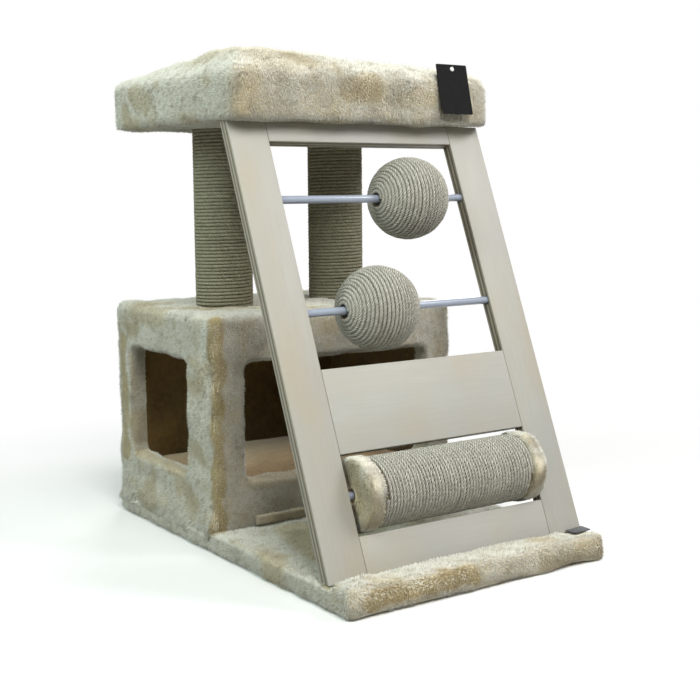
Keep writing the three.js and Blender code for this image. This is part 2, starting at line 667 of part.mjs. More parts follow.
function makePlatform() {
  const width = PLATFORM_WIDTH - 2 * boardInset;
  const depth = PLATFORM_DEPTH - 2 * boardInset;
  const boardZ = platformZ + HEM + SEAT;
  const padZ = boardZ + PLATFORM_BOARD + SEAT;
  const dome = { crown: PLATFORM_CROWN, peakX: PLATFORM_PEAK_X, peakY: PLATFORM_PEAK_Y };
  const outer = {
    width: PLATFORM_WIDTH,
    depth: PLATFORM_DEPTH,
    corner: BOARD_CORNER + boardInset,
    height: PLATFORM_EDGE,
    edge: PLATFORM_EDGE_ROUND,
    foot: PLATFORM_FOOT_ROUND,
    ...dome,
  };
  const padHeight = PLATFORM_EDGE - HEM - SEAT - PLATFORM_BOARD - SEAT - boardInset;
  const pad = {
    width,
    depth,
    corner: BOARD_CORNER,
    height: padHeight,
    edge: PLATFORM_EDGE_ROUND - PILE / 2,
    ...dome,
  };
  const room = {
    width: width + 2 * SEAT,
    depth: depth + 2 * SEAT,
    corner: BOARD_CORNER + SEAT,
    height: padHeight + padZ - boardZ + 2 * SEAT,
    edge: pad.edge,
    ...dome,
  };
  let cover = solidOf(cushionBlock(outer), moved(0, platformY, platformZ));
  cover = cover.subtract(solidOf(cushionBlock(room), moved(0, platformY, boardZ - SEAT)));
  let board = solidOf(plate(width, depth, PLATFORM_BOARD, BOARD_CORNER), moved(0, platformY, boardZ));
  for (const hole of [...upperBoltRooms(), ...screwHoles(frameScrews[1]).map(belowPad)]) {
    board = board.subtract(hole);
    cover = cover.subtract(hole);
  }
  cover = cover.subtract(tagPinHole());
  const foam = solidOf(cushionBlock(pad), moved(0, platformY, padZ)).subtract(tagPinHole());
  add(scratcher, 'platform_board', geometryOf(board), 'board');
  add(scratcher, 'platform_pad', geometryOf(foam), 'foam');
  add(scratcher, 'platform_cover', geometryOf(cover), 'plush');
}

// The part of a screw's room that lies below the foam pad
function belowPad(solid) {
  const top = platformZ + HEM + SEAT + PLATFORM_BOARD + SEAT;
  const below = block(PLATFORM_WIDTH, PLATFORM_DEPTH, top);
  return solid.intersect(solidOf(below, moved(0, platformY, 0)));
}

// Leaning frame, in its own axes: X across, Y through the plywood, Z up the slope

const innerHalf = FRAME_WIDTH / 2 - STILE_WIDTH;
const panelBottom = BOTTOM_RAIL + ROLLER_GAP;
const panelTop = panelBottom + MID_PANEL;
const topRailBottom = frameLength - TOP_RAIL;
const axleZ = BOTTOM_RAIL + ROLLER_GAP / 2;
const lowerRodZ = panelTop + LOWER_ROD_RISE;
const upperRodZ = topRailBottom - UPPER_ROD_DROP;

// A board of the frame. A level end is cut to stand flat on the base or under the platform.
function frameBoard(width, from, to, levelFoot, levelHead) {
  const half = FRAME_PLY / 2;
  const rise = half * Math.tan(LEAN);
  const footRise = levelFoot ? rise : 0;
  const headRise = levelHead ? rise : 0;
  const side = new THREE.Shape();
  side.moveTo(-half, from - footRise);
  side.lineTo(half, from + footRise);
  side.lineTo(half, to + headRise);
  side.lineTo(-half, to - headRise);
  side.closePath();
  const board = new THREE.ExtrudeGeometry(side, { depth: width, bevelEnabled: false });
  return board.translate(0, 0, -width / 2).rotateY(Math.PI / 2).rotateX(Math.PI / 2);
}

function crossBar(radius, halfLength, z, sides = ROUND_SIDES) {
  return alongX(bar(radius, -halfLength, halfLength, sides)).translate(0, 0, z);
}

const rails = [
  { name: 'bottom_rail', from: 0, to: BOTTOM_RAIL, levelFoot: true, levelHead: false },
  { name: 'mid_panel', from: panelBottom, to: panelTop, levelFoot: false, levelHead: false },
  { name: 'top_rail', from: topRailBottom, to: frameLength, levelFoot: false, levelHead: true },
];
const rods = [
  { name: 'upper_rod', z: upperRodZ },
  { name: 'lower_rod', z: lowerRodZ },
  { name: 'roller_axle', z: axleZ },
];

function dowelRoom(x, z) {
  const reach = DOWEL_BITE + SEAT;
  return solidOf(alongX(bar(DOWEL_RADIUS + SEAT, -reach, reach, SMALL_SIDES)), moved(x, 0, z));
}

function makeFrame() {
  const rodHalf = innerHalf + ROD_BITE;
  for (const [side, sign] of [['left', -1], ['right', 1]]) {
    const x = sign * stileX;
    const jointX = sign * innerHalf;
    let stile = solidOf(frameBoard(STILE_WIDTH, 0, frameLength, true, true), moved(x, 0, 0));
    for (const rod of rods) {
      stile = stile.subtract(solidOf(crossBar(ROD_RADIUS + SEAT, rodHalf + SEAT, rod.z)));
    }
    for (const rail of rails) stile = stile.subtract(dowelRoom(jointX, (rail.from + rail.to) / 2));
    for (const screw of frameScrews) stile = stile.subtract(screwRoom(screw, x));
    add(leaning, `${side}_stile`, geometryOf(stile), 'plywood');
    for (const screw of frameScrews) {
      const turnedScrew = headed(SCREW_RADIUS, SCREW_HEAD_RADIUS, SCREW_HEAD_HEIGHT, screw.length);
      turnedScrew.applyMatrix4(screwPlace(screw, x));
      add(leaning, `${side}_${screw.name}`, turnedScrew, 'steel');
    }
  }
  for (const rail of rails) {
    const middle = (rail.from + rail.to) / 2;
    const railWidth = 2 * (innerHalf - SEAT);
    let board = solidOf(frameBoard(railWidth, rail.from, rail.to, rail.levelFoot, rail.levelHead));
    for (const [side, sign] of [['left', -1], ['right', 1]]) {
      board = board.subtract(dowelRoom(sign * innerHalf, middle));
      const dowel = crossBar(DOWEL_RADIUS, DOWEL_BITE, 0, SMALL_SIDES);
      const place = new THREE.Vector3(sign * innerHalf, 0, middle);
      add(leaning, `${rail.name}_${side}_dowel`, dowel, 'board', place);
    }
    add(leaning, rail.name, geometryOf(board), 'plywood');
  }
  for (const rod of rods) add(leaning, rod.name, crossBar(ROD_RADIUS, rodHalf, rod.z), 'rod');
}

// Balls: a plastic sleeve that slides on the rod, and a core wound with rope that spins on the sleeve

const sleeveRadius = ROD_RADIUS + RUNNING + SLEEVE_WALL;

function makeBall(level, x, z) {
  const place = new THREE.Vector3(x, 0, z);
  const sleeve = ring(ROD_RADIUS + RUNNING, sleeveRadius, -SLEEVE_LENGTH / 2, SLEEVE_LENGTH / 2);
  const coreRadius = BALL_RADIUS - BALL_ROPE - 2 * SEAT;
  const bore = sleeveRadius + RUNNING;
  const polar = Math.asin(bore / coreRadius);
  const profile = [];
  for (let k = 0; k <= BALL_ARC_STEPS; k += 1) {
    const down = polar + (k / BALL_ARC_STEPS) * (Math.PI - 2 * polar);
    profile.push([coreRadius * Math.sin(down), -coreRadius * Math.cos(down)]);
  }
  profile.push(profile[0]);
  const seatRadius = coreRadius + 2 * SEAT;
  const firstLoop = Math.asin((bore + BALL_ROPE) / seatRadius);
  const wound = ballRope(`${level}_ball_rope`, seatRadius, BALL_ROPE, firstLoop, BALL_LOOPS);
  add(leaning, `${level}_ball_sleeve`, alongX(sleeve), 'plastic', place);
  add(leaning, `${level}_ball_core`, alongX(turned(profile, BALL_ROPE_STEPS)), 'foam', place);
  add(leaning, `${level}_ball_rope`, alongX(wound), 'sisal', place);
}

// Scratching roller: a paper tube with a disc and a plush cap on each end, wound with rope

function makeRoller() {
  const place = new THREE.Vector3(0, 0, axleZ);
  const capOuter = innerHalf - ROLLER_END_PLAY;
  const tubeEnd = capOuter - ROLLER_CAP_FACE - SEAT;
  const tubeRadius = ROLLER_RADIUS - ROLLER_ROPE - SEAT;
  const inner = tubeRadius - ROLLER_TUBE_WALL;
  const ropeEnd = capOuter - ROLLER_CAP_FACE - ROLLER_CAP_RIM - ROLLER_ROPE_MARGIN;
  const bore = ROD_RADIUS + RUNNING;
  const rimInner = (tubeRadius + SEAT) / Math.cos(Math.PI / ROUND_SIDES);
  const face = capOuter - ROLLER_CAP_FACE;
  const rimEnd = face - ROLLER_CAP_RIM;
  const round = ROLLER_CAP_ROUND;
  const capProfile = [
    [ROLLER_CAP_HOLE, face],
    [rimInner, face],
    [rimInner, rimEnd],
    [ROLLER_CAP_RADIUS, rimEnd],
    [ROLLER_CAP_RADIUS, capOuter - round],
    [ROLLER_CAP_RADIUS - round * (1 - Math.SQRT1_2), capOuter - round * (1 - Math.SQRT1_2)],
    [ROLLER_CAP_RADIUS - round, capOuter],
    [ROLLER_CAP_HOLE, capOuter],
    [ROLLER_CAP_HOLE, face],
  ];
  const tube = alongX(ring(inner, tubeRadius, -tubeEnd, tubeEnd, ROPE_STEPS));
  add(leaning, 'roller_tube', tube, 'paperTube', place);
  const wound = tubeRope('roller_rope', tubeRadius + SEAT, ROLLER_ROPE, -ropeEnd, ropeEnd, ROLLER_LOOPS);
  add(leaning, 'roller_rope', alongX(wound), 'sisal', place);
  for (const [side, sign] of [['left', -1], ['right', 1]]) {
    const disc = alongX(ring(bore, inner - SEAT, tubeEnd - ROLLER_DISC, tubeEnd, ROPE_STEPS));
    const cap = alongX(turned(capProfile));
    add(leaning, `roller_${side}_disc`, disc.scale(sign, 1, 1), 'board', place);
    add(leaning, `roller_${side}_cap`, cap.scale(sign, 1, 1), 'plush', place);
  }
}

// Blank hang tag on a pin in the platform's front, and a blank woven tab on the base

// The tag lies on the rounded front edge of the platform. In its own axes Y runs into the platform.
const edgeReach = PLATFORM_EDGE_ROUND + SEAT;
const tagMount = new THREE.Group();
tagMount.rotation.x = -TAG_LEAN;
tagMount.position.set(0, -edgeReach, TAG_EYE_RISE).applyEuler(tagMount.rotation);
tagMount.position.x = TAG_X;
tagMount.position.y += platformFront + PLATFORM_EDGE_ROUND;
tagMount.position.z += platformZ + PLATFORM_EDGE - PLATFORM_EDGE_ROUND;
tagMount.updateMatrix();
scratcher.add(tagMount);
const intoPlatform = new THREE.Matrix4().makeRotationX(-Math.PI / 2);

function tagPinHole() {
  const hole = bar(TAG_PIN_RADIUS + SEAT, -PAST, TAG_PIN_LENGTH + SEAT, SMALL_SIDES);
  return solidOf(hole, tagMount.matrix.clone().multiply(intoPlatform));
}

function makeTags() {
  const card = roundedRect(TAG_WIDTH, TAG_HEIGHT, TAG_CORNER);
  const eyeHeight = TAG_HEIGHT / 2 - TAG_EYE_DROP;
  card.holes.push(new THREE.Path().absarc(0, eyeHeight, TAG_PIN_RADIUS + SEAT, 0, Math.PI * 2, true));
  const options = { depth: TAG_CARD, bevelEnabled: false, curveSegments: SMALL_SIDES / 2 };
  const tag = new THREE.ExtrudeGeometry(card, options);
  add(tagMount, 'hang_tag', tag.translate(0, -eyeHeight, 0).rotateX(Math.PI / 2), 'card');

  const pinSeat = -TAG_CARD - SEAT;
  const pinReach = TAG_PIN_LENGTH - pinSeat;
  const pin = headed(TAG_PIN_RADIUS, TAG_PIN_HEAD_RADIUS, TAG_PIN_HEAD, pinReach).applyMatrix4(intoPlatform);
  add(tagMount, 'tag_pin', pin, 'plastic', new THREE.Vector3(0, pinSeat, 0));

  const tabX = BASE_WIDTH / 2 - TAB_EDGE_GAP - TAB_WIDTH / 2;
  const tabY = baseFront + TAB_FRONT_GAP + TAB_DEPTH / 2;
  const tab = plate(TAB_WIDTH, TAB_DEPTH, TAB_CARD, TAG_CORNER);
  add(scratcher, 'woven_tab', tab, 'card', new THREE.Vector3(tabX, tabY, standZ));
}

makeBase();
makeCabinWalls();
makeCabinCloth();
makePost('left', -postX);
makePost('right', postX);
makePlatform();
makeFrame();
makeBall('upper', UPPER_BALL_X, upperRodZ);
makeBall('lower', LOWER_BALL_X, lowerRodZ);
makeRoller();
makeTags();

export default scratcher;
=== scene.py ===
"""Looks of a ball track cat scratcher: plush cabin, base and platform, rope posts, and a leaning plywood
frame with rope balls on painted rods and a rope roller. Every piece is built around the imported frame."""

import json
import math
from contextlib import contextmanager

import bmesh
import bpy
import numpy as np
from bpy.props import FloatProperty, FloatVectorProperty, PointerProperty
from mathutils import Matrix, Vector

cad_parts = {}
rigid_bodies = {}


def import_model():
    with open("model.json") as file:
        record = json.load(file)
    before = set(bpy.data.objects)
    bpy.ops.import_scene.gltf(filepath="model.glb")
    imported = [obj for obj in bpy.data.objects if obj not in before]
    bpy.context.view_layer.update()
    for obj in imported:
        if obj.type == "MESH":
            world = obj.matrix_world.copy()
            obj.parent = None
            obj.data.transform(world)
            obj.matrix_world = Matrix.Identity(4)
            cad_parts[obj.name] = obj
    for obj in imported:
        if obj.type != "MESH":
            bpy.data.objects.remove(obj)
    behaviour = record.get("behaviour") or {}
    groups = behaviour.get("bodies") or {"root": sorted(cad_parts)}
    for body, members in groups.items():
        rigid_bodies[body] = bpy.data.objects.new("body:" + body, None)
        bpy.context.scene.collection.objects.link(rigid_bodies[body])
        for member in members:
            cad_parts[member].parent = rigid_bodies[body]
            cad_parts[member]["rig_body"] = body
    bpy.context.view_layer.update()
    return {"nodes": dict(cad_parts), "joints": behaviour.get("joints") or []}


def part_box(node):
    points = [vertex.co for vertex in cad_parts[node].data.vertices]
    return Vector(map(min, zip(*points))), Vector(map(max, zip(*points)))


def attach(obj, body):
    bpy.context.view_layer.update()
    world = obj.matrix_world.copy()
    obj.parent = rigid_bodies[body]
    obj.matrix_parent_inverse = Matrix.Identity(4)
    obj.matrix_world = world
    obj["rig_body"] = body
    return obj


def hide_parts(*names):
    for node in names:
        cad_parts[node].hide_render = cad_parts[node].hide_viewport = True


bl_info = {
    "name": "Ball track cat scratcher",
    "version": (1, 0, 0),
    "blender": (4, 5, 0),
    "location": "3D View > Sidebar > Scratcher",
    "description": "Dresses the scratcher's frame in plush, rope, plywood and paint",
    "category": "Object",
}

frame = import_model()

# Places that the frame gives


def middle(node):
    low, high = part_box(node)
    return (low + high) / 2


def round_of(node):
    """Radius of a round node that lies along X."""
    low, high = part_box(node)
    return (high.z - low.z) / 2


BASE_LOW, BASE_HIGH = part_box("base_cover")
CABIN_LOW, CABIN_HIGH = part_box("cabin_cover")
PLATFORM_LOW, PLATFORM_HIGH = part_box("platform_cover")
STILE_LOW, STILE_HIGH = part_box("left_stile")
AXLE = middle("roller_axle")
SLOPE = (middle("upper_rod") - AXLE).normalized()
LEAN = math.atan2(SLOPE.y, SLOPE.z)
STILE_SIZE = STILE_HIGH - STILE_LOW
PLY = (STILE_SIZE.y - STILE_SIZE.z * math.tan(LEAN)) * math.cos(LEAN)
JOINTS = {joint["name"]: joint for joint in frame["joints"]}
STILE_SIDE = abs(STILE_LOW.x)
FOOT_Y = AXLE.y + (STILE_LOW.z - AXLE.z) * math.tan(LEAN)
POST_X = middle("right_post_tube").x
POST_Y = middle("right_post_tube").y

# Numbers that shape the random fields, the pile and the rope, and the room between fitted pieces

WAVES = 28
FLOOR_GAP = 0.0006
GAP = 0.0003
GAPS = Vector((GAP,) * 3)
BED_GAP = 0.0002
BOLT_HOLE = 0.0045
PILE_TURNS = np.radians([0.0, 120.0, 240.0])
TUFT_FACES = np.array([[0, 2, 1], [0, 1, 3], [1, 2, 3], [2, 0, 3]])
STRANDS = 3
ROPE_SHARE, ROPE_FLAT = 0.56, 0.62
POST_SHARE, POST_FLAT = 0.55, 0.5
STRAND_DIP, POST_DIP = 0.78, 0.92
# How far the lay wanders, how rough the strands are, and how much painted shade and relief the grooves
# between strands get
LAY_SWAY, ROUGH_STRANDS, GROOVE = 0.16, 0.025, 0.75
ROW_INSET, ROW_FILL = 0.05, 0.9
SLACK_OUT, SLACK_ALONG = 0.00008, 0.00006
BALL_SLACK_OUT, BALL_SLACK_TURN = 0.00015, 0.003

# Sides of a round piece, how far cutters reach past, degrees of edges shaded smooth, and axes

ROUND = 64
PAST = 0.01
CLOTH_ANGLE, TURNED_ANGLE, BOARD_ANGLE = 60.0, 40.0, 30.0
X, Y, Z = range(3)


def linear(red, green, blue):
    """Linear RGBA of a colour given in 0 to 255 sRGB."""
    shares = [value / 255 for value in (red, green, blue)]
    return (*[s / 12.92 if s <= 0.04045 else ((s + 0.055) / 1.055) ** 2.4 for s in shares], 1.0)


def length(name, description, default):
    return FloatProperty(name=name, description=description, default=default, unit="LENGTH", precision=4)


def colour(name, description, default):
    settings = {"subtype": "COLOR", "size": 4, "min": 0.0, "max": 1.0}
    return FloatVectorProperty(name=name, description=description, default=linear(*default), **settings)


class ScratcherSizes(bpy.types.PropertyGroup):
    """Sizes that a user would change."""

    pile_length: length("Pile length", "Length of one tuft of the plush", 0.0034)
    pile_spacing: length("Pile spacing", "Distance between neighbouring tufts", 0.00165)
    pile_width: length("Pile width", "Radius of a tuft at its root", 0.00098)
    pile_seat: length("Pile seat", "Depth of the plush backing below the tips of the pile", 0.0026)
    hem_pile: length("Hem pile", "Pile on cloth that is pulled flat", 0.0024)
    sill: length("Sill", "From the cabin's foot to the lower edge of its cut-outs", 0.057)
    cutout_height: length("Cut-out height", "Height of the doorway and the window", 0.143)
    cutout_corner: length("Cut-out corner", "Corner radius of the doorway and the window", 0.012)
    door_pillar: length("Door pillar", "From the cabin's side to its doorway", 0.044)
    window_front_pillar: length("Window front pillar", "From the cabin's front to its window", 0.077)
    window_back_pillar: length("Window back pillar", "From the window to the cabin's back", 0.040)
    wall_depth: length("Wall depth", "From the plush's outside to the inside of the lining", 0.0246)
    crown: length("Platform crown", "Rise of the platform's crown over its edge", 0.0262)
    platform_edge: length("Platform edge", "Height of the platform's sides over the pile", 0.0631)
    post_radius: length("Post radius", "Radius of a post over its rope", 0.0376)
    post_pitch: length("Post rope pitch", "Distance between neighbouring turns on a post", 0.00438)
    roller_radius: length("Roller radius", "Radius of the roller over its rope", 0.040)
    roller_pitch: length("Roller rope pitch", "Distance between neighbouring turns on the roller", 0.00435)
    ball_radius: length("Ball radius", "Radius of a ball over its rope", 0.050)
    ball_pitch: length("Ball rope pitch", "Distance between neighbouring turns on a ball", 0.0046)
    rope_lay: length("Rope lay", "Length in which a strand goes once round the rope", 0.0115)
    lip_rise: length("Lip rise", "How far the plush puffs up in front of the frame", 0.0065)
    edge_wear: length("Edge round", "Round on the plywood's edges", 0.0008)


class ScratcherColours(bpy.types.PropertyGroup):
    """Colours that a user would change."""

    pile_tip: colour("Pile tip", "Tips of the plush", (247, 244, 233))
    pile_root: colour("Pile root", "Roots of the plush", (230, 224, 208))
    # Painted shade: tan tips and roots where the pile lies over, standing in for nap shading and for shadows
    shaded_tip: colour("Brushed tip", "Tips where the pile is brushed the other way", (208, 188, 144))
    shaded_root: colour("Brushed root", "Roots where the pile is brushed the other way", (188, 166, 120))
    # Painted shade: the lining's dark golden brown stands in for the dim, warm light inside the cabin
    lining: colour("Lining", "Fleece inside the cabin", (140, 111, 57))
    cushion: colour("Cushion", "Short plush of the cushion", (186, 156, 112))
    sisal: colour("Sisal", "Rope of the balls and the roller", (218, 213, 200))
    post_sisal: colour("Post sisal", "Rope of the posts", (190, 184, 157))
    # Painted shade between a rope's turns, on the dark tube under them
    turn_gap_shade: colour("Sisal groove", "Rope between its strands", (122, 112, 90))
    birch: colour("Birch", "Face of the plywood", (171, 169, 163))
    birch_edge: colour("Plywood edge", "Long plies on the plywood's edge", (154, 148, 133))
    birch_dark: colour("Cross ply", "Cross plies on the plywood's edge", (113, 105, 89))
    rod: colour("Rod paint", "Paint on the rods", (151, 158, 175))
    card: colour("Card", "Blank hang tag", (30, 29, 30))


# Modelling helpers


def activate(piece):
    bpy.ops.object.select_all(action="DESELECT")
    piece.select_set(True)
    bpy.context.view_layer.objects.active = piece


def settle(piece):
    """Moves an object's place, turn and scale into its mesh."""
    activate(piece)
    bpy.ops.object.transform_apply(location=True, rotation=True, scale=True)
    return piece


def named(piece, name):
    piece.name = name
    piece.data.name = name
    return piece


def box_piece(name, low, high):
    """A box between two corners, as a start."""
    bpy.ops.object.select_all(action="DESELECT")
    bpy.ops.mesh.primitive_cube_add(size=1, location=(Vector(low) + Vector(high)) / 2)
    piece = named(bpy.context.object, name)
    piece.scale = Vector(high) - Vector(low)
    return settle(piece)


def bar_piece(name, radius, start, end, sides=ROUND):
    """A round bar between two points, as a start."""
    bpy.ops.object.select_all(action="DESELECT")
    start, end = Vector(start), Vector(end)
    way = end - start
    settings = {"location": (start + end) / 2, "rotation": way.to_track_quat("Z", "Y").to_euler()}
    bpy.ops.mesh.primitive_cylinder_add(vertices=sides, radius=radius, depth=way.length, **settings)
    return settle(named(bpy.context.object, name))


@contextmanager
def editing(piece, mode):
    """Edit mode on one piece, with nothing selected at first."""
    activate(piece)
    bpy.ops.object.mode_set(mode="EDIT")
    bpy.ops.mesh.select_mode(type=mode)
    bpy.ops.mesh.select_all(action="DESELECT")
    yield
    bpy.ops.object.mode_set(mode="OBJECT")


def choose_edges(piece, test):
    """Selects the edges whose two ends pass a test."""
    shape = bmesh.from_edit_mesh(piece.data)
    for edge in shape.edges:
        edge.select_set(test(edge.verts[0].co, edge.verts[1].co))
    bmesh.update_edit_mesh(piece.data)


def bevel_edges(piece, offset, segments, test):
    with editing(piece, "EDGE"):
        choose_edges(piece, test)
        bpy.ops.mesh.bevel(offset=offset, segments=segments, affect="EDGES")


def near(value, target, tolerance=1e-5):
    return abs(value - target) < tolerance


def along(axis):
    """A test for the edges that run along one axis."""
    others = [k for k in range(3) if k != axis]
    return lambda a, b: all(near(a[k], b[k]) for k in others)


def at_level(axis, level):
    """A test for the edges that lie at one level of an axis."""
    return lambda a, b: near(a[axis], level) and near(b[axis], level)


def rounded_block(name, low, high, corner, top, foot, steps=5):
    """A block with round upright corners and round upper and lower edges."""
    piece = box_piece(name, low, high)
    bevel_edges(piece, corner, steps, along(Z))
    if top:
        bevel_edges(piece, top, steps, at_level(Z, high[Z]))
    if foot:
        bevel_edges(piece, foot, steps, at_level(Z, low[Z]))
    return piece


def apply(piece, kind, **settings):
    """Adds a modifier, sets it and applies it."""
    activate(piece)
    modifier = piece.modifiers.new(kind.lower(), kind)
    for name, value in settings.items():
        setattr(modifier, name, value)
    bpy.ops.object.modifier_apply(modifier=modifier.name)


def combine(piece, others, operation="DIFFERENCE"):
    """Cuts other pieces out of one, or joins them to it, and removes them."""
    for other in others:
        apply(piece, "BOOLEAN", operation=operation, object=other, solver="MANIFOLD")
        bpy.data.objects.remove(other)
    return piece


def even_skin(piece, grain, smoothing):
    """Gives a piece an even skin of small quads and softens it."""
    apply(piece, "REMESH", mode="VOXEL", voxel_size=grain)
    apply(piece, "SMOOTH", factor=0.5, iterations=smoothing)


def vertices_of(piece):
    """Places and normals of a piece's vertices."""
    mesh = piece.data
    places = np.empty(len(mesh.vertices) * 3)
    normals = np.empty(len(mesh.vertices) * 3)
    mesh.vertices.foreach_get("co", places)
    mesh.vertex_normals.foreach_get("vector", normals)
    return places.reshape(-1, 3), normals.reshape(-1, 3)


def place_vertices(piece, places):
    piece.data.vertices.foreach_set("co", np.ascontiguousarray(places, float).ravel())
    piece.data.update()


def smooth_shade(piece, degrees=35.0):
    activate(piece)
    bpy.ops.object.shade_smooth_by_angle(angle=math.radians(degrees))


def mesh_piece(name, points, faces):
    """A piece from arrays of points and of triangles."""
    mesh = bpy.data.meshes.new(name)
    mesh.vertices.add(len(points))
    mesh.vertices.foreach_set("co", np.ascontiguousarray(points, float).ravel())
    mesh.loops.add(faces.size)
    mesh.loops.foreach_set("vertex_index", np.ascontiguousarray(faces, np.int32).ravel())
    mesh.polygons.add(len(faces))
    mesh.polygons.foreach_set("loop_start", np.arange(0, faces.size, faces.shape[1], dtype=np.int32))
    mesh.update(calc_edges=True)
    piece = bpy.data.objects.new(name, mesh)
    bpy.context.scene.collection.objects.link(piece)
    return piece


def add_uv(piece, name, corners):
    layer = piece.data.uv_layers.new(name=name)
    layer.uv.foreach_set("vector", np.ascontiguousarray(corners, np.float32).ravel())


def add_attribute(piece, name, kind, values):
    attribute = piece.data.attributes.new(name, kind, "POINT")
    field = "vector" if kind == "FLOAT_VECTOR" else "value"
    attribute.data.foreach_set(field, np.ascontiguousarray(values, np.float32).ravel())


def body_of(node):
    return frame["nodes"][node]["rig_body"]


def dress(piece, material, body, replaced=()):
    """Gives a finished piece its material and its place in the frame."""
    piece.data.materials.clear()
    piece.data.materials.append(finish(material))
    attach(piece, body)
    if replaced:
        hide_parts(*replaced)
    return piece


# Random fields, the same on each run


def waves(wavelength, seed):
    rng = np.random.default_rng(seed)
    ways = rng.normal(size=(WAVES, 3))
    counts = rng.uniform(0.6, 1.5, WAVES) * 2 * np.pi / wavelength
    ways *= (counts / np.linalg.norm(ways, axis=1))[:, None]
    return ways, rng.uniform(0, 2 * np.pi, WAVES)


def drift(points, wavelength, seed):
    """A smooth random value at each point, mostly between -2 and 2."""
    ways, phase = waves(wavelength, seed)
    return np.cos(points @ ways.T + phase).sum(axis=1) * math.sqrt(2 / WAVES)


def drift_way(points, wavelength, seed):
    """A smooth random direction at each point."""
    return np.stack([drift(points, wavelength, seed + k) for k in range(3)], axis=1)


def gather(points, wavelength, seed):
    """The way towards the nearest crest of a random field, which draws tufts into clumps."""
    ways, phase = waves(wavelength, seed)
    steep = -np.sin(points @ ways.T + phase) @ ways
    return steep * math.sqrt(2 / WAVES) * wavelength / (2 * np.pi)


def unit(vectors):
    return vectors / np.maximum(np.linalg.norm(vectors, axis=1), 1e-9)[:, None]


def ramp01(value, low, high):
    share = np.clip((value - low) / (high - low), 0, 1)
    return share * share * (3 - 2 * share)


# Node helpers


class Graph:
    """Adds nodes to a tree. Each input is a value or another node's output."""

    def __init__(self, tree):
        self.tree = tree

    def add(self, kind, inputs=None, **settings):
        node = self.tree.nodes.new(kind)
        for name, value in settings.items():
            setattr(node, name, value)
        for socket, value in (inputs or {}).items():
            if isinstance(value, bpy.types.NodeSocket):
                self.tree.links.new(value, node.inputs[socket])
            else:
                node.inputs[socket].default_value = value
        return node

    def maths(self, operation, a, b=0.0):
        return self.add("ShaderNodeMath", {0: a, 1: b}, operation=operation).outputs[0]

    def mix(self, share, a, b, blend="MIX"):
        inputs = {0: share, 6: a, 7: b}
        return self.add("ShaderNodeMix", inputs, data_type="RGBA", blend_type=blend).outputs[2]

    def ramp(self, value, low, high):
        """0 at low, 1 at high and straight between."""
        return self.add("ShaderNodeMapRange", {0: value, 1: low, 2: high}).outputs[0]

    def noise(self, place, scale, detail=2.0, roughness=0.5):
        inputs = {"Vector": place, "Scale": scale, "Detail": detail, "Roughness": roughness}
        return self.add("ShaderNodeTexNoise", inputs).outputs["Fac"]

    def attribute(self, name, output="Fac"):
        return self.add("ShaderNodeAttribute", attribute_name=name).outputs[output]

    def object_place(self):
        return self.add("ShaderNodeTexCoord").outputs["Object"]

    def mapped(self, place, scale=(1, 1, 1), rotation=(0, 0, 0), location=(0, 0, 0)):
        inputs = {"Vector": place, "Scale": scale, "Rotation": rotation, "Location": location}
        return self.add("ShaderNodeMapping", inputs).outputs[0]

    def bump(self, height, strength, distance):
        inputs = {"Height": height, "Strength": strength, "Distance": distance}
        return self.add("ShaderNodeBump", inputs).outputs[0]

    def group(self, tree, inputs):
        return self.add("ShaderNodeGroup", inputs, node_tree=tree).outputs


def new_material(name, fixed):
    """A material whose shader has some plain values, with its graph and its shader."""
    made = bpy.data.materials.new(name)
    made.use_nodes = True
    shader = made.node_tree.nodes["Principled BSDF"]
    for socket, value in fixed.items():
        shader.inputs[socket].default_value = value
    return made, Graph(made.node_tree), shader


def feed(graph, shader, **sources):
    """Links outputs to the shader's sockets, with base_color for Base Color and so on."""
    for name, source in sources.items():
        graph.tree.links.new(source, shader.inputs[name.replace("_", " ").title()])


def new_group(name, inputs, outputs):
    """An empty node group with named sockets, and its graph, inputs and outputs."""
    tree = bpy.data.node_groups.new(name, "ShaderNodeTree")
    for socket, kind in inputs.items():
        tree.interface.new_socket(socket, in_out="INPUT", socket_type="NodeSocket" + kind)
    for socket, kind in outputs.items():
        tree.interface.new_socket(socket, in_out="OUTPUT", socket_type="NodeSocket" + kind)
    graph = Graph(tree)
    entry = tree.nodes.new("NodeGroupInput").outputs
    leave = tree.nodes.new("NodeGroupOutput").inputs
    return tree, graph, entry, leave


def once(collection, name, make):
    """The named material or group, made the first time that it is asked for."""
    return collection.get(name) or make(name)


# Effects that several finishes share


def mottle_group(name="Mottle"):
    """Cloudy change between two colours, at two sizes."""
    inputs = {"Place": "Vector", "Scale": "Float", "First": "Color", "Second": "Color"}
    tree, graph, entry, leave = new_group(name, inputs, {"Colour": "Color", "Share": "Float"})
    broad = graph.noise(entry["Place"], entry["Scale"], 3.0, 0.6)
    fine_scale = graph.maths("MULTIPLY", entry["Scale"], 9.0)
    fine = graph.noise(entry["Place"], fine_scale, 2.0, 0.6)
    both = graph.maths("ADD", graph.maths("MULTIPLY", broad, 0.65), graph.maths("MULTIPLY", fine, 0.35))
    share = graph.ramp(both, 0.36, 0.64)
    tree.links.new(graph.mix(share, entry["First"], entry["Second"]), leave["Colour"])
    tree.links.new(share, leave["Share"])
    return tree


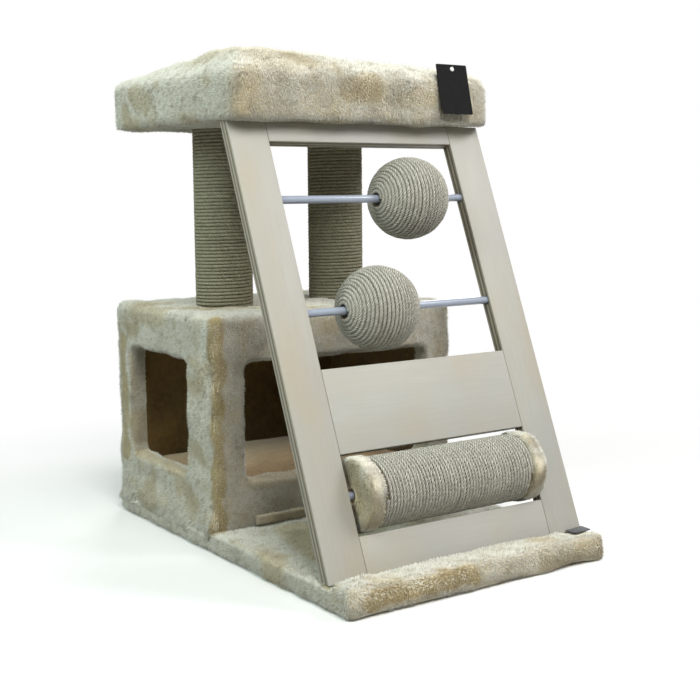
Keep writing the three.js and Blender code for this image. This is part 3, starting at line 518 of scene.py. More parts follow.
def fibre_group(name="Fibre"):
    """Fine threads along U of a map in metres."""
    inputs = {"Map": "Vector", "Along": "Float", "Across": "Float"}
    tree, graph, entry, leave = new_group(name, inputs, {"Thread": "Float", "Strand": "Float"})
    parts = graph.add("ShaderNodeSeparateXYZ", {0: entry["Map"]}).outputs
    along = graph.maths("MULTIPLY", parts[0], entry["Along"])
    across = graph.maths("MULTIPLY", parts[1], entry["Across"])
    place = graph.add("ShaderNodeCombineXYZ", {0: along, 1: across, 2: parts[2]}).outputs[0]
    tree.links.new(graph.noise(place, 1.0, 3.0, 0.65), leave["Thread"])
    tree.links.new(graph.noise(place, 0.23, 2.0, 0.5), leave["Strand"])
    return tree


def mottle():
    return once(bpy.data.node_groups, "Mottle", mottle_group)


def fibre():
    return once(bpy.data.node_groups, "Fibre", fibre_group)


# Finishes


def palette():
    return bpy.context.scene.scratcher_colours


def measures():
    return bpy.context.scene.scratcher_sizes


def lay_normal(graph, share):
    """The backing's normal, carried by each tuft, mixed with the tuft's own."""
    carried = graph.attribute("lay", "Vector")
    settings = {"vector_type": "NORMAL", "convert_from": "OBJECT", "convert_to": "WORLD"}
    turned = graph.add("ShaderNodeVectorTransform", {0: carried}, **settings).outputs[0]
    own = graph.add("ShaderNodeNewGeometry").outputs["Normal"]
    blend = graph.add("ShaderNodeMix", {0: share, 4: own, 5: turned}, data_type="VECTOR").outputs[1]
    return graph.add("ShaderNodeVectorMath", {0: blend}, operation="NORMALIZE").outputs[0]


def make_pile(name):
    fixed = {"Roughness": 0.75, "Sheen Weight": 0.12, "Sheen Roughness": 0.45, "Specular IOR Level": 0.25}
    made, graph, shader = new_material(name, fixed)
    colours = palette()
    tip, nap_and_shade, shade = (graph.attribute(part) for part in ("tip", "nap_and_shade", "shade"))
    # Tan painted shade where the nap_and_shade attribute is high
    root_colour = graph.mix(nap_and_shade, colours.pile_root, colours.shaded_root)
    tip_colour = graph.mix(nap_and_shade, colours.pile_tip, colours.shaded_tip)
    along = graph.mix(graph.ramp(tip, 0.0, 0.75), root_colour, tip_colour)
    # The shade attribute darkens tufts at random, and as painted shade in the partings
    varied = graph.mix(graph.maths("MULTIPLY", shade, 0.75), along, darker(colours.shaded_root, 0.6))
    feed(graph, shader, base_color=varied, normal=lay_normal(graph, 0.8))
    return made


def darker(value, share):
    return (value[0] * share, value[1] * share, value[2] * share, 1.0)


def grain(scale, detail=2.0, roughness=0.5):
    """Height of a finish from fine noise."""
    return lambda graph, place, cloud: graph.noise(place, scale, detail, roughness)


def cells(scale):
    """Height of a finish from small round cells."""
    kind = "ShaderNodeTexVoronoi"
    return lambda graph, place, cloud: graph.add(kind, {"Vector": place, "Scale": scale}).outputs["Distance"]


def make_clouded(name, fixed, scale, first, second, relief=None, gloss=None):
    """A finish that clouds between two colours. Relief is a height with its strength and depth."""
    made, graph, shader = new_material(name, fixed)
    place = graph.object_place()
    cloud = graph.group(mottle(), {"Place": place, "Scale": scale, "First": first, "Second": second})
    feed(graph, shader, base_color=cloud["Colour"])
    if relief:
        height, strength, depth = relief
        feed(graph, shader, normal=graph.bump(height(graph, place, cloud), strength, depth))
    if gloss:
        feed(graph, shader, roughness=graph.ramp(cloud["Share"], *gloss))
    return made


def make_backing(name):
    colours = palette()
    fixed = {"Roughness": 0.95, "Sheen Weight": 0.2}
    return make_clouded(name, fixed, 26.0, colours.pile_root, colours.shaded_tip, (grain(420.0), 0.6, 0.002))


def make_fleece(name, base, share, scale):
    """Short fleece: cloudy colour and a soft knotted surface."""
    fixed = {"Roughness": 0.95, "Sheen Weight": 0.3, "Sheen Roughness": 0.5}
    return make_clouded(name, fixed, scale, base, darker(base, share), (grain(330.0, 3.0, 0.7), 0.8, 0.003))


def make_sisal(name, base):
    made, graph, shader = new_material(name, {"Roughness": 0.85, "Specular IOR Level": 0.3})
    lay = graph.add("ShaderNodeUVMap", uv_map="Lay").outputs[0]
    threads = graph.group(fibre(), {"Map": lay, "Along": 120.0, "Across": 5200.0})
    body = graph.mix(graph.ramp(threads["Thread"], 0.25, 0.72), darker(base, 0.62), base)
    sisal_tone = graph.mix(graph.ramp(threads["Strand"], 0.3, 0.75), body, darker(base, 0.78))
    # Dark and bright specks along the lay: partly the fibres' own tone, partly painted highlights and shade
    # that break up each turn's shine
    specks = graph.noise(graph.mapped(lay, scale=(230.0, 480.0, 1.0)), 1.0, 2.0, 0.6)
    sisal_tone = graph.mix(graph.ramp(specks, 0.50, 0.64), sisal_tone, darker(base, 0.40))
    sisal_tone = graph.mix(graph.ramp(specks, 0.44, 0.32), sisal_tone, darker(base, 1.25))
    # Painted shade in the grooves between strands, which also sets their relief
    groove = graph.ramp(graph.attribute("groove"), 0.25, 0.72)
    groove_shaded = graph.mix(graph.maths("MULTIPLY", groove, 0.85), sisal_tone, darker(base, 0.34))
    height = graph.maths("SUBTRACT", threads["Thread"], groove)
    feed(graph, shader, base_color=groove_shaded, normal=graph.bump(height, 0.7, 0.0006))
    return made


# Painted shade between a rope's turns, darker or lighter by a share
def make_rope_shade_bed(name, share):
    base = darker(palette().turn_gap_shade, share)
    return make_clouded(name, {"Roughness": 0.95}, 80.0, base, darker(base, 0.6))


def make_plywood(name, grain_along_x):
    """Birch plywood with plies through its thickness, in the leaning frame's own axes."""
    made, graph, shader = new_material(name, {"Roughness": 0.5, "Specular IOR Level": 0.35})
    colours = palette()
    turn = Matrix.Rotation(LEAN, 3, "X")
    place = graph.mapped(graph.object_place(), rotation=(LEAN, 0, 0), location=turn @ -AXLE)
    stretch = (2.2, 34.0, 46.0) if grain_along_x else (46.0, 34.0, 2.2)
    figure_stretch = (0.7, 9.0, 7.0) if grain_along_x else (7.0, 9.0, 0.7)
    streaks = graph.noise(graph.mapped(place, scale=stretch), 9.0, 4.0, 0.65)
    figure = graph.noise(graph.mapped(place, scale=figure_stretch), 2.2, 3.0, 0.55)
    clouds = graph.noise(place, 9.0, 2.0)
    face = graph.mix(graph.ramp(streaks, 0.35, 0.7), colours.birch, darker(colours.birch, 0.93))
    face = graph.mix(graph.ramp(figure, 0.40, 0.85), face, (0.40, 0.35, 0.275, 1.0))
    face = graph.mix(graph.ramp(clouds, 0.45, 0.75), face, darker(colours.birch, 0.92))
    warm = graph.noise(graph.mapped(place, scale=(1.0, 0.2, 0.6), location=(0.3, 0.1, 0.7)), 13.0, 3.0, 0.6)
    warmth = graph.maths("MULTIPLY", graph.ramp(warm, 0.5, 0.78), 0.55)
    face = graph.mix(warmth, face, (0.40, 0.34, 0.245, 1.0))
    depth = graph.maths("ABSOLUTE", graph.add("ShaderNodeSeparateXYZ", {0: place}).outputs[1])
    inner = graph.ramp(depth, PLY * 0.085, PLY * 0.115)
    outer = graph.ramp(depth, PLY * 0.315, PLY * 0.285)
    cross = graph.maths("MULTIPLY", inner, outer)
    rough_end = graph.noise(graph.mapped(place, scale=(1.0, 0.4, 0.25)), 420.0, 3.0)
    dark = graph.mix(graph.ramp(rough_end, 0.3, 0.7), colours.birch_dark, darker(colours.birch_dark, 0.7))
    edge_grain = graph.ramp(depth, PLY * 0.48, PLY * 0.44)
    edge = graph.mix(edge_grain, face, colours.birch_edge)
    whole = graph.mix(cross, edge, dark)
    height = graph.maths("SUBTRACT", streaks, cross)
    rough = graph.ramp(streaks, -1.0, 2.0)
    feed(graph, shader, base_color=whole, roughness=rough, normal=graph.bump(height, 0.15, 0.0008))
    return made


def make_paint(name):
    fixed = {"Roughness": 0.28, "Coat Weight": 0.4, "Coat Roughness": 0.12, "Specular IOR Level": 0.5}
    base = palette().rod
    return make_clouded(name, fixed, 40.0, base, darker(base, 0.93), (grain(260.0), 0.06, 0.0004))


def make_steel(name):
    fixed = {"Metallic": 1.0, "Roughness": 0.35}
    colours = (0.5, 0.5, 0.52, 1.0), (0.36, 0.36, 0.37, 1.0)
    return make_clouded(name, fixed, 90.0, *colours, gloss=(-1.2, 2.2))


def make_board(name):
    """Chipboard: flakes of two browns."""
    made, graph, shader = new_material(name, {"Roughness": 0.8})
    place = graph.object_place()
    flakes = graph.add("ShaderNodeTexVoronoi", {"Vector": place, "Scale": 240.0}).outputs["Color"]
    tone = graph.add("ShaderNodeSeparateColor", {0: flakes}).outputs[0]
    base = graph.mix(tone, (0.42, 0.29, 0.16, 1.0), (0.60, 0.46, 0.29, 1.0))
    feed(graph, shader, base_color=base, normal=graph.bump(tone, 0.25, 0.0006))
    return made


def make_paper(name):
    colours = (0.33, 0.23, 0.13, 1.0), (0.25, 0.17, 0.09, 1.0)
    relief = (lambda graph, place, cloud: cloud["Share"]), 0.2, 0.0005
    return make_clouded(name, {"Roughness": 0.9}, 60.0, *colours, relief)


def make_foam(name):
    colours = (0.22, 0.20, 0.15, 1.0), (0.15, 0.135, 0.10, 1.0)
    return make_clouded(name, {"Roughness": 1.0}, 30.0, *colours, (cells(700.0), 0.4, 0.0008))


def make_plastic(name):
    colours = (0.78, 0.77, 0.74, 1.0), (0.70, 0.69, 0.66, 1.0)
    return make_clouded(name, {"Roughness": 0.4}, 120.0, *colours, gloss=(-1.5, 2.5))


# Near black: painted shade of the hole round the rod, on the ball's sleeve
def make_hole_shade_plastic(name):
    colours = (0.02, 0.019, 0.022, 1.0), (0.03, 0.028, 0.03, 1.0)
    return make_clouded(name, {"Roughness": 0.6}, 120.0, *colours)


def make_card(name):
    base = palette().card
    fixed = {"Roughness": 0.8, "Specular IOR Level": 0.08}
    return make_clouded(name, fixed, 150.0, base, darker(base, 0.75), (grain(2600.0), 0.12, 0.0002))


def make_woven(name):
    """Dense dark ribbon: warp and weft threads that pass over each other."""
    made, graph, shader = new_material(name, {"Roughness": 0.7, "Sheen Weight": 0.3})
    place = graph.mapped(graph.object_place(), scale=(2000.0, 1500.0, 1500.0))
    parts = graph.add("ShaderNodeSeparateXYZ", {0: place}).outputs
    warp = graph.maths("SINE", graph.maths("MULTIPLY", parts[0], math.pi))
    weft = graph.maths("SINE", graph.maths("MULTIPLY", parts[1], math.pi))
    over = graph.maths("MULTIPLY", warp, weft)
    base = graph.mix(graph.ramp(over, -0.8, 0.8), (0.012, 0.012, 0.016, 1.0), (0.055, 0.055, 0.066, 1.0))
    feed(graph, shader, base_color=base, normal=graph.bump(over, 0.5, 0.0003))
    return made


FINISHES = {
    "plush_pile": make_pile,
    "plush_backing": make_backing,
    "lining_fleece": lambda name: make_fleece(name, palette().lining, 0.55, 16.0),
    "cushion_fleece": lambda name: make_fleece(name, palette().cushion, 0.68, 22.0),
    "sisal_rope": lambda name: make_sisal(name, palette().sisal),
    "post_sisal_rope": lambda name: make_sisal(name, palette().post_sisal),
    "rope_bed": lambda name: make_rope_shade_bed(name, 1.0),
    "post_rope_bed": lambda name: make_rope_shade_bed(name, 1.5),
    "plywood_upright": lambda name: make_plywood(name, False),
    "plywood_across": lambda name: make_plywood(name, True),
    "rod_paint": make_paint,
    "bright_steel": make_steel,
    "chipboard": make_board,
    "paper_tube": make_paper,
    "ball_foam": make_foam,
    "white_plastic": make_plastic,
    "dark_plastic": make_hole_shade_plastic,
    "blank_card": make_card,
    "woven_ribbon": make_woven,
}


def finish(name):
    return once(bpy.data.materials, name, FINISHES[name])


# Plush pile

# Strokes where the pile lies over and gets a tan painted shade: nap shading on the cabin, the platform and a
# roller cap, and painted shadow and shade on the base's top and lip. Each is two ends of a stroke, its half
# width and its strength
SHADE_STROKES = [
    ((-0.1735, 0.0095, 0.030), (-0.1735, 0.0095, 0.285), 0.0090, 1.0),
    ((-0.180, 0.262, 0.080), (-0.180, 0.262, 0.235), 0.010, 0.8),
    ((-0.178, 0.150, 0.277), (-0.178, 0.225, 0.277), 0.014, 0.5),
    ((-0.174, 0.090, 0.084), (-0.168, 0.235, 0.084), 0.009, 0.6),
    ((-0.130, 0.012, 0.084), (0.130, 0.012, 0.084), 0.012, 0.6),
    ((-0.155, -0.281, 0.019), (-0.020, -0.281, 0.020), 0.011, 1.0),
    ((0.085, -0.281, 0.014), (0.180, -0.281, 0.016), 0.012, 0.6),
    ((-0.178, -0.067, 0.530), (-0.160, -0.067, 0.565), 0.014, 0.45),
    ((-0.030, -0.067, 0.553), (0.005, -0.067, 0.556), 0.015, 0.65),
    ((0.045, -0.067, 0.545), (0.090, -0.067, 0.548), 0.010, 0.5),
    ((-0.190, 0.150, 0.545), (-0.190, 0.185, 0.555), 0.014, 0.5),
    ((-0.120, -0.050, 0.590), (-0.150, 0.060, 0.598), 0.030, 0.35),
    ((-0.131, -0.205, 0.136), (-0.131, -0.216, 0.100), 0.014, 0.7),
    ((-0.120, -0.150, 0.028), (-0.090, -0.040, 0.028), 0.030, 0.7),
    ((-0.060, -0.090, 0.028), (0.060, -0.060, 0.028), 0.026, 0.6),
]


# How tufts stand: the combed lay, how far patches, streaks, clumps and chance turn it, and how a hem hangs
COMB = np.array([0.0, -0.12, -0.35])
PATCH_SWAY, STREAK_SWAY, CLUMP_SWAY, LOOSE_SWAY = 0.40, 0.22, 0.22, 0.20
SWAY, NAP_DROOP = 0.5, 0.2
HANG_SWAY, HANG_GROWTH = 1.8, 0.8

# How tufts grow: lengths and widths as shares, long strays, uneven growth and roots below the skin
TUFT_LENGTHS, TUFT_WIDTHS = (0.72, 1.12), (0.75, 1.2)
STRAYS, STRAY_GROWTH = 0.1, 0.18
UNEVEN, ROOT_DEPTH = 0.12, 0.12

# How far chance, flecks, blotches and partings darken tufts, the partings as painted shade, how ragged and
# wide a stroke's edge is, and how strongly clouds and smaller clouds of tan painted nap shade tint the pile
CHANCE_SHADE, FLECK_SHADE, BLOTCH_SHADE, PARTED_SHADE = 0.35, 0.35, 0.30, 0.35
RAGGED, STROKE_FULL, STROKE_END = 0.0016, 0.65, 1.35
CLOUD_NAP_SHADE, CLOUDLET_SHARE = 0.6, 0.45

# Random fields of the pile, each a wavelength and a seed
CLOUDS, CLOUDLETS, STROKE_EDGE = (0.085, 5), (0.032, 9), (0.030, 31)
PARTINGS, PARTED_PLACES = (0.045, 103), (0.11, 107)
PATCHES, STREAKS, CLUMPS = (0.060, 11), (0.018, 23), (0.0085, 41)
GROWTH, FLECKS, BLOTCHES = (0.03, 57), (0.008, 67), (0.015, 73)


def laid_and_shaded(points):
    """How far the pile at each point lies over and takes a tan painted shade, from 0 to 1."""
    # Clouds of tan painted nap shade, then the strokes of painted shade and shadow
    clouds = drift(points, *CLOUDS) + CLOUDLET_SHARE * drift(points, *CLOUDLETS)
    cloud = CLOUD_NAP_SHADE * ramp01(clouds, 0.2, 2.2)
    for start, end, width, strength in SHADE_STROKES:
        start, end = np.array(start), np.array(end)
        along = end - start
        share = np.clip((points - start) @ along / (along @ along), 0, 1)
        gap = np.linalg.norm(points - start - share[:, None] * along, axis=1)
        ragged = gap + RAGGED * drift(points, *STROKE_EDGE)
        stroke = 1 - ramp01(ragged, width * STROKE_FULL, width * STROKE_END)
        cloud = np.maximum(cloud, strength * stroke)
    return cloud


def parted(points):
    """Thin lines where the pile falls apart and shows its roots, darkened there as painted shade, from 0 to
    1.
    """
    line = 1 - ramp01(np.abs(drift(points, *PARTINGS)), 0.0, 0.16)
    return line * ramp01(drift(points, *PARTED_PLACES), 0.3, 1.4)


def sow(piece, keep, spacing, seed):
    """Roots and normals of tufts, spread evenly over the quads of a skin that pass a test."""
    mesh = piece.data
    places, normals = vertices_of(piece)
    corners = np.empty(len(mesh.loops), np.int32)
    mesh.loops.foreach_get("vertex_index", corners)
    quads = corners.reshape(-1, 4)
    kept = quads[keep(places[quads].mean(axis=1), unit(normals[quads].mean(axis=1)))]
    edge = np.median(np.linalg.norm(places[quads[:, 1]] - places[quads[:, 0]], axis=1))
    cells = max(1, round(edge / spacing))
    rng = np.random.default_rng(seed)
    roots, ups = [], []
    for column in range(cells):
        for row in range(cells):
            u = ((column + rng.random(len(kept))) / cells)[:, None]
            v = ((row + rng.random(len(kept))) / cells)[:, None]
            shares = [(1 - u) * (1 - v), u * (1 - v), u * v, (1 - u) * v]
            roots.append(sum(share * places[kept[:, k]] for k, share in enumerate(shares)))
            ups.append(sum(share * normals[kept[:, k]] for k, share in enumerate(shares)))
    return np.concatenate(roots), unit(np.concatenate(ups))


def tuft_map(count):
    """One cell of a grid for each tuft, with its four triangles side by side."""
    columns = math.ceil(math.sqrt(count))
    feet = np.array([[0.04, 0.1], [0.35, 0.1], [0.65, 0.1], [0.96, 0.1]])
    peaks = np.array([[0.2, 0.92], [0.5, 0.92], [0.8, 0.92]])
    walls = [[feet[k], feet[k + 1], peaks[k]] for k in range(3)]
    cell = np.concatenate([[feet[1], peaks[1], peaks[0]], *walls])
    index = np.arange(count)
    start = np.stack([index % columns, index // columns], axis=1)
    return (start[:, None, :] + cell[None]) / columns


def pile_piece(name, body, roots, ups, reach, seed, tan=0.0, hang=0.0):
    """Tufts of plush: closed spikes that lean along a combed lay, and hang longer where hang nears 1."""
    rng = np.random.default_rng(seed)
    count = len(roots)
    hang = np.broadcast_to(hang, count)
    # How far each tuft lies over, which also sets its tan painted shade
    nap_and_shade = np.maximum(laid_and_shaded(roots), tan)
    sway = COMB + PATCH_SWAY * drift_way(roots, *PATCHES) + STREAK_SWAY * drift_way(roots, *STREAKS)
    sway += CLUMP_SWAY * gather(roots, *CLUMPS) + rng.normal(scale=LOOSE_SWAY, size=(count, 3))
    sway[:, 2] -= HANG_SWAY * hang
    sway -= ups * np.sum(sway * ups, axis=1)[:, None]
    way = unit(ups * (1.0 - NAP_DROOP * nap_and_shade)[:, None] + SWAY * sway)
    long = reach * rng.uniform(*TUFT_LENGTHS, count) * (1 + UNEVEN * drift(roots, *GROWTH))
    long *= (1 + STRAY_GROWTH * (rng.random(count) < STRAYS)) * (1 + HANG_GROWTH * hang)
    side = unit(np.cross(way, rng.normal(size=(count, 3))))
    other = np.cross(way, side)
    width = measures().pile_width * rng.uniform(*TUFT_WIDTHS, count)[:, None]
    foot = roots - ups * (ROOT_DEPTH * reach)
    corners = [foot + width * (math.cos(a) * side + math.sin(a) * other) for a in PILE_TURNS]
    points = np.stack(corners + [roots + way * long[:, None]], axis=1).reshape(-1, 3)
    points[:, 2] = np.maximum(points[:, 2], FLOOR_GAP)
    faces = (np.arange(count)[:, None, None] * 4 + TUFT_FACES[None]).reshape(-1, 3)
    piece = mesh_piece(name, points, faces)
    add_attribute(piece, "tip", "FLOAT", np.tile([0.0, 0.0, 0.0, 1.0], count))
    add_attribute(piece, "nap_and_shade", "FLOAT", np.repeat(nap_and_shade, 4))
    # Random darkening of tufts, and painted shade in the partings
    specks = CHANCE_SHADE * rng.random(count) ** 2
    specks += FLECK_SHADE * ramp01(drift(roots, *FLECKS), 0.3, 2.2)
    specks += BLOTCH_SHADE * ramp01(drift(roots, *BLOTCHES), 0.2, 2.0)
    specks = np.minimum(1.0, specks + PARTED_SHADE * parted(roots))
    add_attribute(piece, "shade", "FLOAT", np.repeat(specks, 4))
    add_attribute(piece, "lay", "FLOAT_VECTOR", np.repeat(ups, 4, axis=0))
    add_uv(piece, "OFBake", tuft_map(count))
    return dress(piece, "plush_pile", body)


SIDES = {
    "left": (X, -1),
    "right": (X, 1),
    "front": (Y, -1),
    "back": (Y, 1),
    "under": (Z, -1),
    "top": (Z, 1),
}
TOP_AND_SIDES = {"top": ["top"], "sides": ["left", "right", "front", "back", "under"]}


def pile_by_sides(name, body, roots, ups, reach, seed, groups, hang):
    """Pile in several pieces, one for each named group of sides that the tufts face."""
    facing = np.abs(ups).argmax(axis=1)
    sign = np.sign(ups[np.arange(len(ups)), facing])
    for number, (label, sides) in enumerate(groups.items()):
        picked = np.zeros(len(ups), bool)
        for side in sides:
            axis, way = SIDES[side]
            picked |= (facing == axis) & (sign == way)
        tufts = roots[picked], ups[picked]
        pile_piece(f"{name}_pile_{label}", body, *tufts, reach, seed + number, hang=hang[picked])


def skin_grain():
    """Quads of the plush's skin carry two tufts each way."""
    return 2 * measures().pile_spacing


def ruffle(piece, height, wavelength, seed):
    """Pushes a soft skin in and out a little, as stuffed cloth lies."""
    places, normals = vertices_of(piece)
    place_vertices(piece, places + normals * (height * drift(places, wavelength, seed))[:, None])


# Rope


def rope_piece(name, centres, outs, steps, radius, seed, dip=STRAND_DIP, flat=ROPE_FLAT):
    """A laid rope of three strands along a winding, pressed flat by some share."""
    ways = unit(np.gradient(centres, axis=0))
    acrosses = unit(np.cross(ways, outs))
    strides = np.linalg.norm(np.diff(centres, axis=0), axis=1)
    travel = np.concatenate([[0], np.cumsum(strides)])
    rows = len(centres)
    twist = strides / measures().rope_lay * (1 + LAY_SWAY * wobble(rows, steps, seed)[1:])
    shares = np.array((1.0, dip) * STRANDS)
    sides = len(shares)
    angles = np.arange(sides) * 2 * np.pi / sides
    turn = 2 * np.pi * np.concatenate([[0], np.cumsum(twist)])[:, None] + angles[None]
    rough = np.random.default_rng(seed).normal(1.0, ROUGH_STRANDS, size=turn.shape)
    spread = (radius * shares * rough)[..., None]
    across = np.sin(turn)[..., None] * acrosses[:, None, :]
    rings = centres[:, None, :] + spread * (flat * np.cos(turn)[..., None] * outs[:, None, :] + across)
    points = np.concatenate([rings.reshape(-1, 3), centres[:1], centres[-1:]])
    ring = np.arange(sides)
    after = (ring + 1) % sides
    start = (np.arange(rows - 1) * sides)[:, None]
    lower = np.stack([start + ring, start + after, start + sides + after], axis=2)
    upper = np.stack([start + ring, start + sides + after, start + sides + ring], axis=2)
    walls = np.stack([lower, upper], axis=2).reshape(-1, 3)
    first, last = rows * sides, rows * sides + 1
    head = np.stack([np.full(sides, first), after, ring], axis=1)
    tail = np.stack([np.full(sides, last), (rows - 1) * sides + ring, (rows - 1) * sides + after], axis=1)
    piece = mesh_piece(name, points, np.concatenate([walls, head, tail]))
    # Groove marks between strands, which the sisal finish turns into painted shade and relief
    grooves = np.tile(np.where(shares < 1.0, GROOVE, 0.0), rows)
    add_attribute(piece, "groove", "FLOAT", np.concatenate([grooves, [1.0, 1.0]]))
    bake, lay = rope_maps(rows, steps, sides, travel, radius)
    add_uv(piece, "OFBake", bake)
    add_uv(piece, "Lay", lay)
    activate(piece)
    bpy.ops.object.shade_smooth()
    return piece


def rope_maps(rows, steps, sides, travel, radius):
    """Two maps of a rope: one row of a grid for each turn, and metres along and round the rope."""
    turns = math.ceil((rows - 1) / steps)
    row = np.arange(rows - 1)
    turn, step = row // steps, row % steps
    ring = np.arange(sides)
    near_u, far_u = step / steps, (step + 1) / steps
    low_v = (turn[:, None] + ROW_INSET + ROW_FILL * ring[None] / sides) / (turns + 1)
    high_v = (turn[:, None] + ROW_INSET + ROW_FILL * (ring[None] + 1) / sides) / (turns + 1)

    def corners(u0, u1, v0, v1):
        u0, u1 = (np.broadcast_to(u[:, None], v0.shape) for u in (u0, u1))
        lower = np.stack([u0, v0, u0, v1, u1, v1], axis=2)
        upper = np.stack([u0, v0, u1, v1, u1, v0], axis=2)
        return np.stack([lower, upper], axis=2).reshape(-1, 2)

    bake = corners(near_u, far_u, low_v, high_v)
    girth = 2 * np.pi * radius
    v0 = np.broadcast_to(girth * ring[None] / sides, low_v.shape)
    lay = corners(travel[:-1], travel[1:], v0, v0 + girth / sides)
    caps = sides * 2 * 3
    cap_bake = np.tile([[0.1, 0.995], [0.2, 0.995], [0.15, 0.999]], (sides * 2, 1))
    return np.concatenate([bake, cap_bake]), np.concatenate([lay, np.zeros((caps, 2))])


def rope_bed(name, radius, bore, start, end, body, material="rope_bed"):
    """A dark tube under a rope's turns, whose colour is painted shade between the turns."""
    way = (Vector(end) - Vector(start)).normalized() * PAST
    bed = bar_piece(name, radius, start, end, ROUND)
    combine(bed, [bar_piece("bore", bore, Vector(start) - way, Vector(end) + way, ROUND)])
    smooth_shade(bed)
    return dress(bed, material, body)


def wobble(count, steps, seed):
    """Small uneven steps of a hand-wound rope, the same on each run."""
    rng = np.random.default_rng(seed)
    knots = rng.normal(size=count // (steps // 3) + 4)
    return np.interp(np.arange(count), np.arange(len(knots)) * (steps // 3), knots)


def tube_winding(start, end, radius, pitch, steps, seed):
    """Centres and outward ways of a rope wound on a straight tube."""
    start, end = np.array(start), np.array(end)
    run = np.linalg.norm(end - start)
    axis = (end - start) / run
    side = np.array([0.0, -1.0, 0.0])
    other = np.cross(axis, side)
    turns = int((run - pitch) / pitch)
    turn = np.arange(turns * steps + 1) / steps
    angle = turn * 2 * np.pi
    outs = np.cos(angle)[:, None] * side + np.sin(angle)[:, None] * other
    slack = wobble(len(turn), steps, seed)[:, None]
    along = pitch / 2 + turn * (run - pitch) / turns
    centres = start + along[:, None] * axis + outs * (radius + SLACK_OUT * slack)
    return centres + axis * SLACK_ALONG * slack, outs


def ball_winding(centre, radius, pole, pitch, steps, seed):
    """Centres and outward ways of a rope wound on a ball from pole to pole, about X."""
    polar = math.asin(pole / radius)
    turns = int(radius * (math.pi - 2 * polar) / pitch)
    turn = np.arange(turns * steps + 1) / steps
    angle = turn * 2 * np.pi
    down = polar + turn * (math.pi - 2 * polar) / turns
    slack = wobble(len(turn), steps, seed)
    down = down + BALL_SLACK_TURN * slack
    flat = np.stack([np.zeros_like(angle), -np.cos(angle), np.sin(angle)], axis=1)
    outs = np.sin(down)[:, None] * flat - np.cos(down)[:, None] * np.array([1.0, 0.0, 0.0])
    return np.array(centre) + outs * (radius + BALL_SLACK_OUT * slack)[:, None], outs


# Operators


